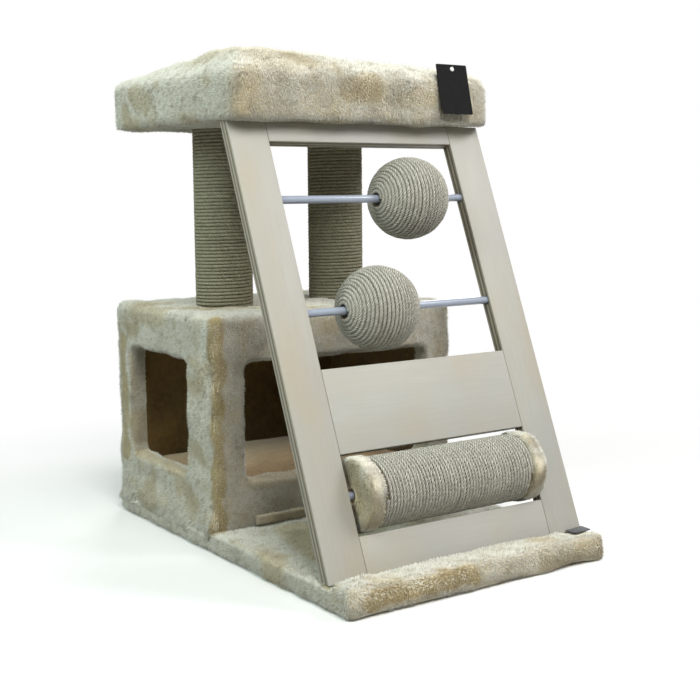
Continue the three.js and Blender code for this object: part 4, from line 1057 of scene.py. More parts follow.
class SCRATCHER_OT_stage(bpy.types.Operator):
    """Camera, lights, pale floor and white surroundings"""

    bl_idname = "scratcher.stage"
    bl_label = "Stage"

    EYE = Vector((-0.8555, -1.2586, 0.4388))
    YAW, PITCH, ROLL = (math.radians(angle) for angle in (34.61, 7.60, -0.397))
    LENS = 62.42
    TARGET = Vector((0.0, 0.0, 0.28))
    LAMPS = [
        ("front", (-0.55, -2.10, 2.25), 1.5, 64.0, (1.0, 0.998, 0.95)),
        ("left", (-2.15, -0.10, 1.80), 1.4, 43.0, (0.84, 1.0, 0.955)),
        ("right", (1.60, -1.40, 2.00), 1.0, 38.0, (0.96, 0.98, 1.0)),
        ("back", (1.60, 2.30, 1.05), 1.4, 34.0, (1.0, 0.99, 0.96)),
    ]
    ZENITH, HORIZON = 0.15, 0.02
    FADE_NEAR, FADE_FAR = 0.42, 0.95
    SENSOR = 36.0
    FLOOR_SIZE, FLOOR_DROP, FLOOR_SPECKS = 60.0, 0.0005, 30.0
    WHITE, SKY = (1.0, 1.0, 1.0, 1.0), (1.0, 0.985, 0.95, 1.0)
    FLOOR_FIRST, FLOOR_SECOND = (0.94, 0.94, 0.94, 1.0), (0.97, 0.97, 0.97, 1.0)
    FLOOR_BOUNCE = (0.42, 0.42, 0.40, 1.0)

    def execute(self, context):
        context.scene.view_settings.view_transform = "Standard"
        self.add_camera(context)
        for name, place, size, energy, tint in self.LAMPS:
            self.add_lamp(name, Vector(place), size, energy, tint)
        self.set_world(context)
        self.add_floor()
        return {"FINISHED"}

    def add_camera(self, context):
        ahead = Vector((math.sin(self.YAW), math.cos(self.YAW), 0)) * math.cos(self.PITCH)
        ahead.z = -math.sin(self.PITCH)
        level = Vector((math.cos(self.YAW), -math.sin(self.YAW), 0))
        upright = level.cross(ahead)
        right = level * math.cos(self.ROLL) + upright * math.sin(self.ROLL)
        above = upright * math.cos(self.ROLL) - level * math.sin(self.ROLL)
        turn = Matrix((right, above, -ahead)).transposed()
        bpy.ops.object.camera_add(location=self.EYE, rotation=turn.to_euler())
        camera = named(context.object, "photo_camera")
        camera.data.lens = self.LENS
        camera.data.sensor_width = self.SENSOR
        context.scene.camera = camera

    def add_lamp(self, name, place, size, energy, tint):
        turn = (self.TARGET - place).to_track_quat("-Z", "Y").to_euler()
        bpy.ops.object.light_add(type="AREA", location=place, rotation=turn)
        lamp = named(bpy.context.object, f"{name}_lamp").data
        lamp.size = size
        lamp.energy = energy
        lamp.color = tint

    def seen_straight(self, graph):
        """1 for what the camera sees straight, in a gloss or through glass."""
        path = graph.add("ShaderNodeLightPath").outputs
        gloss = graph.maths("MAXIMUM", path["Is Glossy Ray"], path["Is Transmission Ray"])
        return graph.maths("MAXIMUM", path["Is Camera Ray"], gloss)

    def set_world(self, context):
        world = bpy.data.worlds.new("white_studio")
        world.use_nodes = True
        context.scene.world = world
        graph = Graph(world.node_tree)
        world.node_tree.nodes.clear()
        way = graph.add("ShaderNodeTexCoord").outputs["Generated"]
        height = graph.add("ShaderNodeSeparateXYZ", {0: way}).outputs[2]
        rise = graph.maths("MULTIPLY", graph.ramp(height, 0.0, 1.0), self.ZENITH - self.HORIZON)
        level = graph.maths("ADD", rise, self.HORIZON)
        soft = graph.add("ShaderNodeBackground", {0: self.SKY, 1: level})
        white = graph.add("ShaderNodeBackground", {0: self.WHITE, 1: 1.0})
        inputs = {0: self.seen_straight(graph), 1: soft.outputs[0], 2: white.outputs[0]}
        both = graph.add("ShaderNodeMixShader", inputs)
        graph.add("ShaderNodeOutputWorld", {0: both.outputs[0]})

    def add_floor(self):
        bpy.ops.object.select_all(action="DESELECT")
        bpy.ops.mesh.primitive_plane_add(size=self.FLOOR_SIZE, location=(0, 0, -self.FLOOR_DROP))
        floor = settle(named(bpy.context.object, "studio_floor"))
        made, graph, shader = new_material("studio_floor", {"Roughness": 0.9, "Specular IOR Level": 0.1})
        place = graph.object_place()
        speck = graph.noise(place, self.FLOOR_SPECKS)
        pale = graph.mix(speck, self.FLOOR_FIRST, self.FLOOR_SECOND)
        straight = self.seen_straight(graph)
        feed(graph, shader, base_color=graph.mix(straight, self.FLOOR_BOUNCE, pale))
        away = graph.add("ShaderNodeVectorMath", {0: place}, operation="LENGTH").outputs["Value"]
        fade = graph.ramp(away, self.FADE_NEAR, self.FADE_FAR)
        white = graph.add("ShaderNodeEmission", {0: self.WHITE, 1: 1.0}).outputs[0]
        share = graph.maths("MULTIPLY", fade, straight)
        both = graph.add("ShaderNodeMixShader", {0: share, 1: shader.outputs[0], 2: white})
        leave = made.node_tree.nodes["Material Output"]
        made.node_tree.links.new(both.outputs[0], leave.inputs[0])
        floor.data.materials.append(made)


class SCRATCHER_OT_carcass(bpy.types.Operator):
    """Finishes of the boards, tubes and fasteners that keep their CAD shape"""

    bl_idname = "scratcher.carcass"
    bl_label = "Carcass"

    KEPT = {
        "chipboard": ("board", "wall", "roof", "plug", "dowel", "disc"),
        "paper_tube": ("tube",),
        "bright_steel": ("bolt", "screw"),
    }

    def execute(self, context):
        for name, node in frame["nodes"].items():
            for material, endings in self.KEPT.items():
                if name.endswith(endings):
                    node.data.materials.clear()
                    node.data.materials.append(finish(material))
        return {"FINISHED"}


class SCRATCHER_OT_base(bpy.types.Operator):
    """Plush cover of the base, with its pile"""

    bl_idname = "scratcher.base"
    bl_label = "Plush base"

    HEM_WIDTH, HEM_LIFT = 0.020, 0.0012
    CORNER, TOP_ROUND, FOOT_ROUND = 0.008, 0.006, 0.003
    RUFFLE = 0.0007, 0.05, 71
    HEM_STEP, HEM_PAST = 0.01, 0.03
    LIP_BEHIND, LIP_AHEAD, LIP_DEPTH = 0.001, 0.005, 0.012
    LIP_LUMPS, LUMP_SHARE = (0.04, 77), 0.22
    TAB_SHARE, TAB_NEAR, TAB_FAR = 0.45, 0.016, 0.036
    TAB_LEFT, TAB_RIGHT, TAB_FRONT, TAB_BACK = 0.002, 0.001, 0.004, 0.002
    UNDER, LEVEL = -0.55, 0.6
    CABIN_INSET, SKIRT_BELOW, STILE_INSET = 0.016, 0.008, 0.002

    def execute(self, context):
        sizes = measures()
        seat = Vector((sizes.pile_seat,) * 3)
        low, high = BASE_LOW + seat, BASE_HIGH - seat
        low.z = BASE_LOW.z + self.HEM_LIFT
        cover = rounded_block("base_cover_plush", low, high, self.CORNER, self.TOP_ROUND, self.FOOT_ROUND)
        even_skin(cover, skin_grain(), 3)
        ruffle(cover, *self.RUFFLE)
        self.raise_lip(cover, high.z)
        roots, ups = sow(cover, self.grows_pile, sizes.pile_spacing, 1)
        board_low, board_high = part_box("base_board")
        hem = Vector((self.HEM_WIDTH, self.HEM_WIDTH, self.HEM_STEP))
        hem_low = board_low + hem - Vector((0, 0, self.HEM_PAST))
        cuts = [
            box_piece("pocket", board_low - GAPS, board_high + GAPS),
            box_piece("hem_edge", hem_low, board_high - hem),
        ]
        combine(cover, cuts)
        smooth_shade(cover, CLOTH_ANGLE)
        dress(cover, "plush_backing", "stand", ["base_cover"])
        hang = np.zeros(len(roots))
        pile_by_sides("base", "stand", roots, ups, sizes.pile_length, 10, TOP_AND_SIDES, hang)
        return {"FINISHED"}

    def raise_lip(self, cover, top):
        """Puffs up the lip in front of the frame, but not under the woven tab."""
        places, _ = vertices_of(cover)
        back = FOOT_Y - PLY / 2 / math.cos(LEAN)
        front = ramp01(places[:, 1], back + self.LIP_BEHIND, back - self.LIP_AHEAD)
        front *= ramp01(places[:, 2], top - self.LIP_DEPTH, top)
        tab = np.array(middle("woven_tab"))
        away = np.linalg.norm((places - tab)[:, :2], axis=1)
        clear = ramp01(away, self.TAB_NEAR, self.TAB_FAR)
        lumps = 1 + self.LUMP_SHARE * drift(places, *self.LIP_LUMPS)
        share = self.TAB_SHARE + (1 - self.TAB_SHARE) * clear * lumps
        places[:, 2] += measures().lip_rise * front * share
        places[:, 2] = np.maximum(places[:, 2], BASE_LOW.z + FLOOR_GAP)
        place_vertices(cover, places)

    def grows_pile(self, places, ups):
        """Not under the base, the cabin and its skirt, the frame's foot or the woven tab."""
        x, y, z = places.T
        under, level = ups[:, 2] < self.UNDER, ups[:, 2] > self.LEVEL
        past_front = y > CABIN_LOW.y + self.CABIN_INSET
        inside = (np.abs(x) < CABIN_HIGH.x - self.CABIN_INSET) & past_front
        inside &= y < CABIN_HIGH.y - self.CABIN_INSET
        trodden = (np.abs(y - FOOT_Y) < PLY * 0.5) & (np.abs(x) < STILE_SIDE - self.STILE_INSET)
        tab_low, tab_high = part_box("woven_tab")
        tab = (x > tab_low.x - self.TAB_LEFT) & (x < tab_high.x + self.TAB_RIGHT)
        tab &= (y > tab_low.y - self.TAB_FRONT) & (y < tab_high.y + self.TAB_BACK)
        skirted = past_front & (z > CABIN_LOW.z - self.SKIRT_BELOW)
        return ~(under | skirted | (level & (inside | trodden | tab)))


def near_posts(places, radius):
    """Which places lie within a radius of a post's middle."""
    away = [np.hypot(places[:, 0] - x, places[:, 1] - POST_Y) for x in (-POST_X, POST_X)]
    return np.minimum(*away) < radius


def bolt_holes(end, radius, bottom, top, sides=16):
    """Bars round the two posts' lower or upper bolts, to cut their holes."""
    places = [middle(f"{side}_post_{end}_bolt") for side in ("left", "right")]
    return [bar_piece("bolt_hole", radius, (p.x, p.y, bottom), (p.x, p.y, top), sides) for p in places]


def cutout(name, low, high, axis):
    """A prism with round corners along X or Y."""
    piece = box_piece(name, low, high)
    bevel_edges(piece, measures().cutout_corner, 4, along(axis))
    return piece


def cutout_heights(grow):
    sizes = measures()
    foot = CABIN_LOW.z + sizes.sill
    return foot - grow, foot + sizes.cutout_height + grow


def doorway(grow, past):
    """The doorway's room, grown all round and carried past the cabin's front."""
    sizes = measures()
    side = CABIN_HIGH.x - sizes.door_pillar + grow
    low_z, high_z = cutout_heights(grow)
    low = (-side, CABIN_LOW.y - past, low_z)
    return cutout("doorway", low, (side, CABIN_LOW.y + sizes.wall_depth + past, high_z), Y)


def window(grow, past):
    """The window's room, grown all round and carried past the cabin's left side."""
    sizes = measures()
    low_z, high_z = cutout_heights(grow)
    front = CABIN_LOW.y + sizes.window_front_pillar - grow
    back = CABIN_HIGH.y - sizes.window_back_pillar + grow
    low = (CABIN_LOW.x - past, front, low_z)
    return cutout("window", low, (CABIN_LOW.x + sizes.wall_depth + past, back, high_z), X)


class SCRATCHER_OT_cabin(bpy.types.Operator):
    """Plush cover of the cabin with its doorway and window, and the strip at its foot"""

    bl_idname = "scratcher.cabin"
    bl_label = "Plush cabin"

    SOFT_CORNER, CORNER, TOP_ROUND = 0.014, 0.005, 0.008
    BACK_SEAT = 0.0012
    JAMB_SEAT = 0.003
    JAMB_PILE = 0.008
    SKIRT = 0.009
    OVERHANG = 0.0012
    FOOT_CORNER = 0.008
    FLARE_RISE, SKIRT_RISE, SKIRT_FROM = 0.035, 0.022, 0.001
    SHELL, BAND, FACING = 0.006, 0.012, 0.3
    RIM, CORNER_RISE = 0.004, 0.03
    RUFFLE, STRIP_RUFFLE = (0.0008, 0.06, 83), (0.0004, 0.03, 91)
    CUT_PAST, HOLE_BELOW = 0.02, 0.005
    HANG_BELOW, HANG_ABOVE = 0.004, 0.006
    LINED, BARE_SIDE, BARE_ROOF = 0.0006, 0.02, 0.03
    BARE_FOOT, POST_INSET, LEVEL = 0.002, 0.002, 0.5
    STRIP_INSET = Vector((0.002, 0.0015, 0.001))
    STRIP_CORNER, STRIP_ROUND, STRIP_GRAIN = 0.0015, 0.001, 0.0016
    STRIP_BACK, STRIP_UNDER = 0.4, -0.6

    def execute(self, context):
        sizes = measures()
        seat = sizes.pile_seat
        low = CABIN_LOW + Vector((seat, seat, 0))
        low.z = BASE_HIGH.z - seat + GAP
        high = CABIN_HIGH - Vector((seat, self.BACK_SEAT, seat))
        cover = box_piece("cabin_cover_plush", low, high)
        for x, y in ((low.x, low.y), (high.x, low.y), (low.x, high.y), (high.x, high.y)):
            corner = self.SOFT_CORNER if (x, y) == (low.x, low.y) else self.CORNER
            post = Vector((x, y, 0))
            bevel_edges(cover, corner, 5, lambda a, b: (a - post).xy.length + (b - post).xy.length < 1e-5)
        bevel_edges(cover, self.TOP_ROUND, 5, at_level(Z, high.z))
        combine(cover, [opening(self.JAMB_SEAT, self.CUT_PAST) for opening in (doorway, window)])
        even_skin(cover, skin_grain(), 4)
        self.flare_foot(cover)
        ruffle(cover, *self.RUFFLE)
        roots, ups = sow(cover, self.grows_pile, sizes.pile_spacing, 2)
        self.hollow(cover)
        smooth_shade(cover, CLOTH_ANGLE)
        dress(cover, "plush_backing", "stand", ["cabin_cover"])
        groups = {side: [side] for side in ("left", "right", "front", "back")}
        groups["roof"] = ["top", "under"]
        foot = CABIN_LOW.z
        hang = 1 - ramp01(roots[:, 2], foot - self.HANG_BELOW, foot + self.HANG_ABOVE)
        pile_by_sides("cabin", "stand", roots, ups, sizes.pile_length, 20, groups, hang)
        self.add_foot_strip()
        return {"FINISHED"}

    def flare_foot(self, cover):
        """Brings the sides out and down over the base's shoulder, and rounds the back corners there."""
        places, ways = vertices_of(cover)
        share = 1 - ramp01(places[:, 2], CABIN_LOW.z, CABIN_LOW.z + self.FLARE_RISE)
        outside = np.abs(places[:, 0]) > CABIN_HIGH.x - self.SHELL
        flare = BASE_HIGH.x - CABIN_HIGH.x + self.OVERHANG
        places[:, 0] += np.sign(places[:, 0]) * flare * share * outside
        beside = np.abs(ways[:, 0]) > self.FACING
        beside &= np.abs(places[:, 0]) > CABIN_HIGH.x - self.BAND
        beside &= places[:, 1] > CABIN_LOW.y + self.SOFT_CORNER
        behind = (ways[:, 1] > self.FACING) & (places[:, 1] > CABIN_HIGH.y - self.BAND)
        foot = places[:, 2] < CABIN_LOW.z + self.RIM
        side = BASE_HIGH.x - measures().pile_seat + self.OVERHANG
        low = beside & foot
        places[low, 0] = np.sign(places[low, 0]) * np.maximum(np.abs(places[low, 0]), side)
        low = behind & foot
        back = CABIN_HIGH.y - self.BACK_SEAT
        places[low, 1] = np.maximum(places[low, 1], back)
        centre_x = np.sign(places[:, 0]) * (side - self.FOOT_CORNER)
        out = np.stack([places[:, 0] - centre_x, places[:, 1] - (back - self.FOOT_CORNER)], axis=1)
        at_corner = (out[:, 0] * centre_x > 0) & (out[:, 1] > 0)
        at_corner &= places[:, 2] < CABIN_LOW.z + self.CORNER_RISE
        keep = np.minimum(1, self.FOOT_CORNER / np.maximum(np.linalg.norm(out, axis=1), 1e-9))
        places[at_corner, :2] -= (out * (1 - keep)[:, None])[at_corner]
        rim = ramp01(places[:, 2], CABIN_LOW.z - self.SKIRT_FROM, CABIN_LOW.z + self.SKIRT_RISE)
        drop = self.SKIRT * (1 - rim)
        places[:, 2] -= drop * (beside | behind)
        place_vertices(cover, places)

    def hollow(self, cover):
        """Cuts out the room for the walls and the inside, and leaves the plush on the jambs."""
        wall_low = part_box("cabin_left_wall")[0]
        wall_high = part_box("cabin_right_wall")[1]
        roof_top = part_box("cabin_roof")[1].z
        low = Vector((wall_low.x, wall_low.y, CABIN_LOW.z - self.CUT_PAST)) - GAPS
        high = Vector((wall_high.x, wall_high.y, roof_top)) + GAPS
        room = box_piece("room", low, high)
        combine(room, [opening(self.JAMB_PILE, 0.0) for opening in (doorway, window)])
        holes = bolt_holes("lower", BOLT_HOLE, roof_top - self.HOLE_BELOW, CABIN_HIGH.z + PAST)
        combine(cover, [room, *holes])

    def grows_pile(self, places, ups):
        """On the outside and the jambs, but not under the cabin, the posts or deep in a cut-out."""
        x, y, z = places.T
        depth = measures().wall_depth + self.LINED
        inner = (x > CABIN_LOW.x + depth) & (x < CABIN_HIGH.x - self.BARE_SIDE)
        inner &= (y > CABIN_LOW.y + depth) & (y < CABIN_HIGH.y - self.BARE_SIDE)
        inner &= z < CABIN_HIGH.z - self.BARE_ROOF
        under = (z < CABIN_LOW.z + self.BARE_FOOT) & (ups[:, 2] < -self.LEVEL)
        covered = near_posts(places, measures().post_radius - self.POST_INSET)
        return ~(under | inner | (covered & (ups[:, 2] > self.LEVEL)))

    def add_foot_strip(self):
        low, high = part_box("cabin_foot_strip")
        ends = low + self.STRIP_INSET, high - self.STRIP_INSET
        strip = rounded_block("cabin_foot_strip_plush", *ends, self.STRIP_CORNER, self.STRIP_ROUND, 0)
        even_skin(strip, self.STRIP_GRAIN, 2)
        ruffle(strip, *self.STRIP_RUFFLE)

        def grows(_, ups):
            return (ups[:, 1] < self.STRIP_BACK) & (ups[:, 2] > self.STRIP_UNDER)

        roots, ups = sow(strip, grows, self.STRIP_GRAIN, 3)
        smooth_shade(strip, CLOTH_ANGLE)
        dress(strip, "plush_backing", "stand", ["cabin_foot_strip"])
        # The strip's pile gets at least half of the tan shaded colours all over, a darker tone
        pile_piece("cabin_foot_strip_pile", "stand", roots, ups, measures().hem_pile, 31, 0.5)


class SCRATCHER_OT_inside(bpy.types.Operator):
    """Fleece lining of the cabin and the cushion on its floor"""

    bl_idname = "scratcher.inside"
    bl_label = "Lining and cushion"

    LINING = 0.003
    HEAD_HOLE = 0.0078
    CORNER, TOP_ROUND, FOOT_ROUND = 0.022, 0.014, 0.012
    VOXEL = 0.006
    PRESSURE = 4.0
    STEPS = 20
    CAP = 0.008
    EDGE = 0.0445
    ROUND = 0.018
    CUT_GROW, CUT_PAST, HOLE_BELOW = 0.004, 0.03, 0.02
    INSET = Vector((0.003, 0.003, 0.0))
    LIFT_FROM, LIFT_FULL = 0.02, 0.006
    LUMPS, LUMP_HEIGHT = (0.09, 13), 0.0007
    FULLNESS, NAP = 0.8, 0.0008
    SAG, SWELL_LIMIT = 0.010, 0.006
    HELD = 0.004

    def execute(self, context):
        self.add_lining()
        self.add_cushion(context)
        return {"FINISHED"}

    def add_lining(self):
        low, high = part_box("cabin_lining")
        lining = box_piece("cabin_lining_fleece", low, high)
        thick = Vector((self.LINING,) * 3)
        inner_low = low + thick
        inner_low.z = low.z - PAST
        cuts = [box_piece("room", inner_low, high - thick)]
        cuts += [opening(self.CUT_GROW, self.CUT_PAST) for opening in (doorway, window)]
        cuts += bolt_holes("lower", self.HEAD_HOLE, high.z - self.HOLE_BELOW, high.z + PAST, 24)
        combine(lining, cuts)
        smooth_shade(lining)
        dress(lining, "lining_fleece", "stand", ["cabin_lining"])

    def add_cushion(self, context):
        low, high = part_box("cabin_cushion")
        top = low.z + self.EDGE
        start_low, start_high = low + self.INSET, high - self.INSET
        start_high.z = top
        rounds = self.CORNER, self.TOP_ROUND, self.FOOT_ROUND
        cushion = rounded_block("cabin_cushion_fleece", start_low, start_high, *rounds)
        apply(cushion, "REMESH", mode="VOXEL", voxel_size=self.VOXEL)
        self.inflate(cushion, context)
        places, _ = vertices_of(cushion)
        lift = ramp01(places[:, 2], low.z + self.LIFT_FROM, top - self.LIFT_FULL)
        across = np.clip(1 - (places[:, 0] / (high.x - self.ROUND)) ** 2, 0, 1)
        deep = (places[:, 1] - (low.y + high.y) / 2) / ((high.y - low.y) / 2 - self.ROUND)
        swell = np.clip(1 - deep**2, 0, 1) * across
        lumps = self.LUMP_HEIGHT * drift(places, *self.LUMPS)
        full = top + (high.z - top) * swell**self.FULLNESS + self.NAP + lumps
        places[:, 2] += lift * (np.maximum(full, places[:, 2]) - places[:, 2])
        places[:, 2] = np.minimum(places[:, 2], np.maximum(full, top - self.SAG))
        places[:, 0] = np.clip(places[:, 0], low.x, high.x)
        places[:, 1] = np.clip(places[:, 1], low.y, high.y)
        places[:, 2] = np.clip(places[:, 2], low.z, high.z + self.SWELL_LIMIT)
        place_vertices(cushion, places)
        apply(cushion, "SMOOTH", factor=0.5, iterations=3)
        apply(cushion, "SUBSURF", levels=1, render_levels=1)
        activate(cushion)
        bpy.ops.object.shade_smooth()
        dress(cushion, "cushion_fleece", "stand", ["cabin_cushion"])

    def inflate(self, cushion, context):
        """Blows the cushion up as cloth, with its foot held, and limits how far it moves."""
        before, _ = vertices_of(cushion)
        foot = cushion.vertex_groups.new(name="foot")
        held = np.flatnonzero(before[:, 2] < before[:, 2].min() + self.HELD)
        foot.add([int(index) for index in held], 1.0, "REPLACE")
        activate(cushion)
        cloth = cushion.modifiers.new("stuffing", "CLOTH")
        cloth.settings.use_pressure = True
        cloth.settings.uniform_pressure_force = self.PRESSURE
        cloth.settings.effector_weights.gravity = 0.0
        cloth.settings.vertex_group_mass = "foot"
        cloth.settings.quality = 4
        cloth.point_cache.frame_start = 1
        cloth.point_cache.frame_end = self.STEPS
        for step in range(1, self.STEPS + 1):
            context.scene.frame_set(step)
        bpy.ops.object.modifier_apply(modifier=cloth.name)
        context.scene.frame_set(1)
        after, _ = vertices_of(cushion)
        move = after - before
        size = np.maximum(np.linalg.norm(move, axis=1), 1e-9)[:, None]
        place_vertices(cushion, before + move * np.minimum(1, self.CAP / size))
        cushion.vertex_groups.clear()


class SCRATCHER_OT_platform(bpy.types.Operator):
    """Padded plush platform with its lopsided crown"""

    bl_idname = "scratcher.platform"
    bl_label = "Plush platform"

    CORNER, TOP_ROUND, FOOT_ROUND = 0.016, 0.013, 0.006
    PEAK = (-0.120, 0.031)
    REACH = (0.260, 0.188)
    FALL = 0.6
    EDGE = 0.040
    FOOT_LIFT = 0.0015
    RUFFLE = 0.0007, 0.07, 61
    BELOW, LEVEL = -0.6, 0.5
    HANG_FROM, HANG_TO = 0.001, 0.010
    RISE_FROM, RISE_FULL = 0.02, 0.001
    HEAD_SHARE, HOLE_ABOVE = 0.6, 0.005

    def execute(self, context):
        sizes = measures()
        seat = sizes.pile_seat
        low = PLATFORM_LOW + Vector((seat, seat, self.FOOT_LIFT))
        high = PLATFORM_HIGH - Vector((seat, seat, 0))
        high.z = PLATFORM_LOW.z + sizes.platform_edge - seat
        cover = rounded_block("platform_plush", low, high, self.CORNER, self.TOP_ROUND, self.FOOT_ROUND)
        even_skin(cover, skin_grain(), 3)
        self.raise_crown(cover, low, high)
        ruffle(cover, *self.RUFFLE)
        roots, ups = sow(cover, self.grows_pile, sizes.pile_spacing, 4)
        self.hollow(cover)
        smooth_shade(cover, CLOTH_ANGLE)
        dress(cover, "plush_backing", "stand", ["platform_cover", "platform_pad"])
        below = ups[:, 2] < self.BELOW
        few = np.flatnonzero(below)[::2]
        pile_piece("platform_pile_under", "stand", roots[few], ups[few], sizes.hem_pile, 44)
        roots, ups = roots[~below], ups[~below]
        foot = PLATFORM_LOW.z
        hang = 1 - ramp01(roots[:, 2], foot + self.HANG_FROM, foot + self.HANG_TO)
        pile_by_sides("platform", "stand", roots, ups, sizes.pile_length, 40, TOP_AND_SIDES, hang)
        return {"FINISHED"}

    def raise_crown(self, cover, low, high):
        places, _ = vertices_of(cover)
        x, y = places[:, 0], places[:, 1]
        away = ((x - self.PEAK[0]) / self.REACH[0]) ** 2 + ((y - self.PEAK[1]) / self.REACH[1]) ** 2
        inside = np.minimum(high.x - np.abs(x), np.minimum(y - low.y, high.y - y))
        rise = measures().crown * np.exp(-(away**self.FALL)) * ramp01(inside, 0, self.EDGE)
        places[:, 2] += rise * ramp01(places[:, 2], high.z - self.RISE_FROM, high.z - self.RISE_FULL)
        place_vertices(cover, places)

    def grows_pile(self, places, ups):
        """Not where the frame's head and the posts press against the underside."""
        head = AXLE.y + (STILE_HIGH.z - AXLE.z) * math.tan(LEAN)
        pressed = np.abs(places[:, 1] - head) < PLY * self.HEAD_SHARE
        pressed &= np.abs(places[:, 0]) < STILE_SIDE
        pressed |= near_posts(places, measures().post_radius)
        return ~(pressed & (ups[:, 2] < -self.LEVEL))

    def hollow(self, cover):
        """Cuts out the room for the board and the posts' bolts."""
        board_low, board_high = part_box("platform_board")
        cuts = [box_piece("board_room", board_low - GAPS, board_high + GAPS)]
        cuts += bolt_holes("upper", BOLT_HOLE, PLATFORM_LOW.z - PAST, board_low.z + self.HOLE_ABOVE)
        combine(cover, cuts)


class SCRATCHER_OT_posts(bpy.types.Operator):
    """Rope on the two posts"""

    bl_idname = "scratcher.posts"
    bl_label = "Rope posts"

    STEPS = 190
    PAST_FOOT, PAST_HEAD, BED_FOOT = 0.003, 0.001, 0.002

    def execute(self, context):
        sizes = measures()
        radius = sizes.post_pitch * POST_SHARE
        for number, side in enumerate(("left", "right")):
            low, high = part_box(f"{side}_post_tube")
            x = (low.x + high.x) / 2
            start, end = (x, POST_Y, low.z - self.PAST_FOOT), (x, POST_Y, high.z + self.PAST_HEAD)
            middle_radius = sizes.post_radius - radius * POST_FLAT
            wound = tube_winding(start, end, middle_radius, sizes.post_pitch, self.STEPS, 200 + number)
            shape = {"dip": POST_DIP, "flat": POST_FLAT}
            rope = rope_piece(f"{side}_post_rope_sisal", *wound, self.STEPS, radius, 210 + number, **shape)
            dress(rope, "post_sisal_rope", "stand", [f"{side}_post_rope"])
            bore = (high.x - low.x) / 2 + BED_GAP
            bed_start, bed_end = (x, POST_Y, low.z - self.BED_FOOT), (x, POST_Y, high.z)
            bed_radius = sizes.post_radius - radius
            rope_bed(f"{side}_post_rope_bed", bed_radius, bore, bed_start, bed_end, "stand", "post_rope_bed")
        return {"FINISHED"}


def lean_in(piece):
    """Turns a piece made round the axle's middle into the leaning frame."""
    piece.rotation_euler = (-LEAN, 0, 0)
    piece.location = AXLE
    return settle(piece)


def trim_level(piece, height, keep_above):
    """Cuts a leaning board level and keeps one side."""
    with editing(piece, "FACE"):
        bpy.ops.mesh.select_all(action="SELECT")
        place = (0, 0, height)
        bpy.ops.mesh.bisect(
            plane_co=place,
            plane_no=(0, 0, 1),
            use_fill=True,
            clear_inner=keep_above,
            clear_outer=not keep_above,
        )


class SCRATCHER_OT_plywood(bpy.types.Operator):
    """Stiles, rails and panel of the leaning frame"""

    bl_idname = "scratcher.plywood"
    bl_label = "Plywood frame"

    SPARE = 0.03
    HOLE_GAP, END_GAP = 0.0004, 0.0005

    def execute(self, context):
        for side in ("left", "right"):
            holes = ("upper_rod", "lower_rod", "roller_axle")
            self.add_board(f"{side}_stile", True, True, "plywood_upright", holes)
        self.add_board("bottom_rail", True, False, "plywood_across")
        self.add_board("mid_panel", False, False, "plywood_across")
        self.add_board("top_rail", False, True, "plywood_across")
        return {"FINISHED"}

    def add_board(self, node, level_foot, level_head, material, holes=()):
        low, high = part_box(node)
        slip = PLY / 2 * math.sin(LEAN)
        start = (low.z - AXLE.z + slip) / math.cos(LEAN) - (self.SPARE if level_foot else 0)
        end = (high.z - AXLE.z - slip) / math.cos(LEAN) + (self.SPARE if level_head else 0)
        board = box_piece(f"{node}_plywood", (low.x, -PLY / 2, start), (high.x, PLY / 2, end))
        lean_in(board)
        if level_foot:
            trim_level(board, low.z, True)
        if level_head:
            trim_level(board, high.z, False)
        apply(board, "BEVEL", width=measures().edge_wear, segments=3, limit_method="ANGLE")
        for rod in holes:
            rod_low, rod_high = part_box(rod)
            centre = middle(rod)
            start_point = (rod_low.x - self.END_GAP, centre.y, centre.z)
            end_point = (rod_high.x + self.END_GAP, centre.y, centre.z)
            hole = bar_piece("rod_hole", round_of(rod) + self.HOLE_GAP, start_point, end_point, 32)
            combine(board, [hole])
        smooth_shade(board, BOARD_ANGLE)
        dress(board, material, "stand", [node])


class SCRATCHER_OT_rods(bpy.types.Operator):
    """Painted rods and the roller's axle"""

    bl_idname = "scratcher.rods"
    bl_label = "Rods"

    CHAMFER = 0.0007
    SLIM = 0.0004

    def execute(self, context):
        for node in ("upper_rod", "lower_rod", "roller_axle"):
            low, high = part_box(node)
            centre = middle(node)
            ends = [Vector((x, centre.y, centre.z)) for x in (low.x, high.x)]
            rod = bar_piece(f"{node}_painted", round_of(node) - self.SLIM, *ends, 48)
            bevel_edges(rod, self.CHAMFER, 2, lambda a, b: near(a.x, b.x))
            smooth_shade(rod, TURNED_ANGLE)
            dress(rod, "rod_paint", body_of(node), [node])
        return {"FINISHED"}


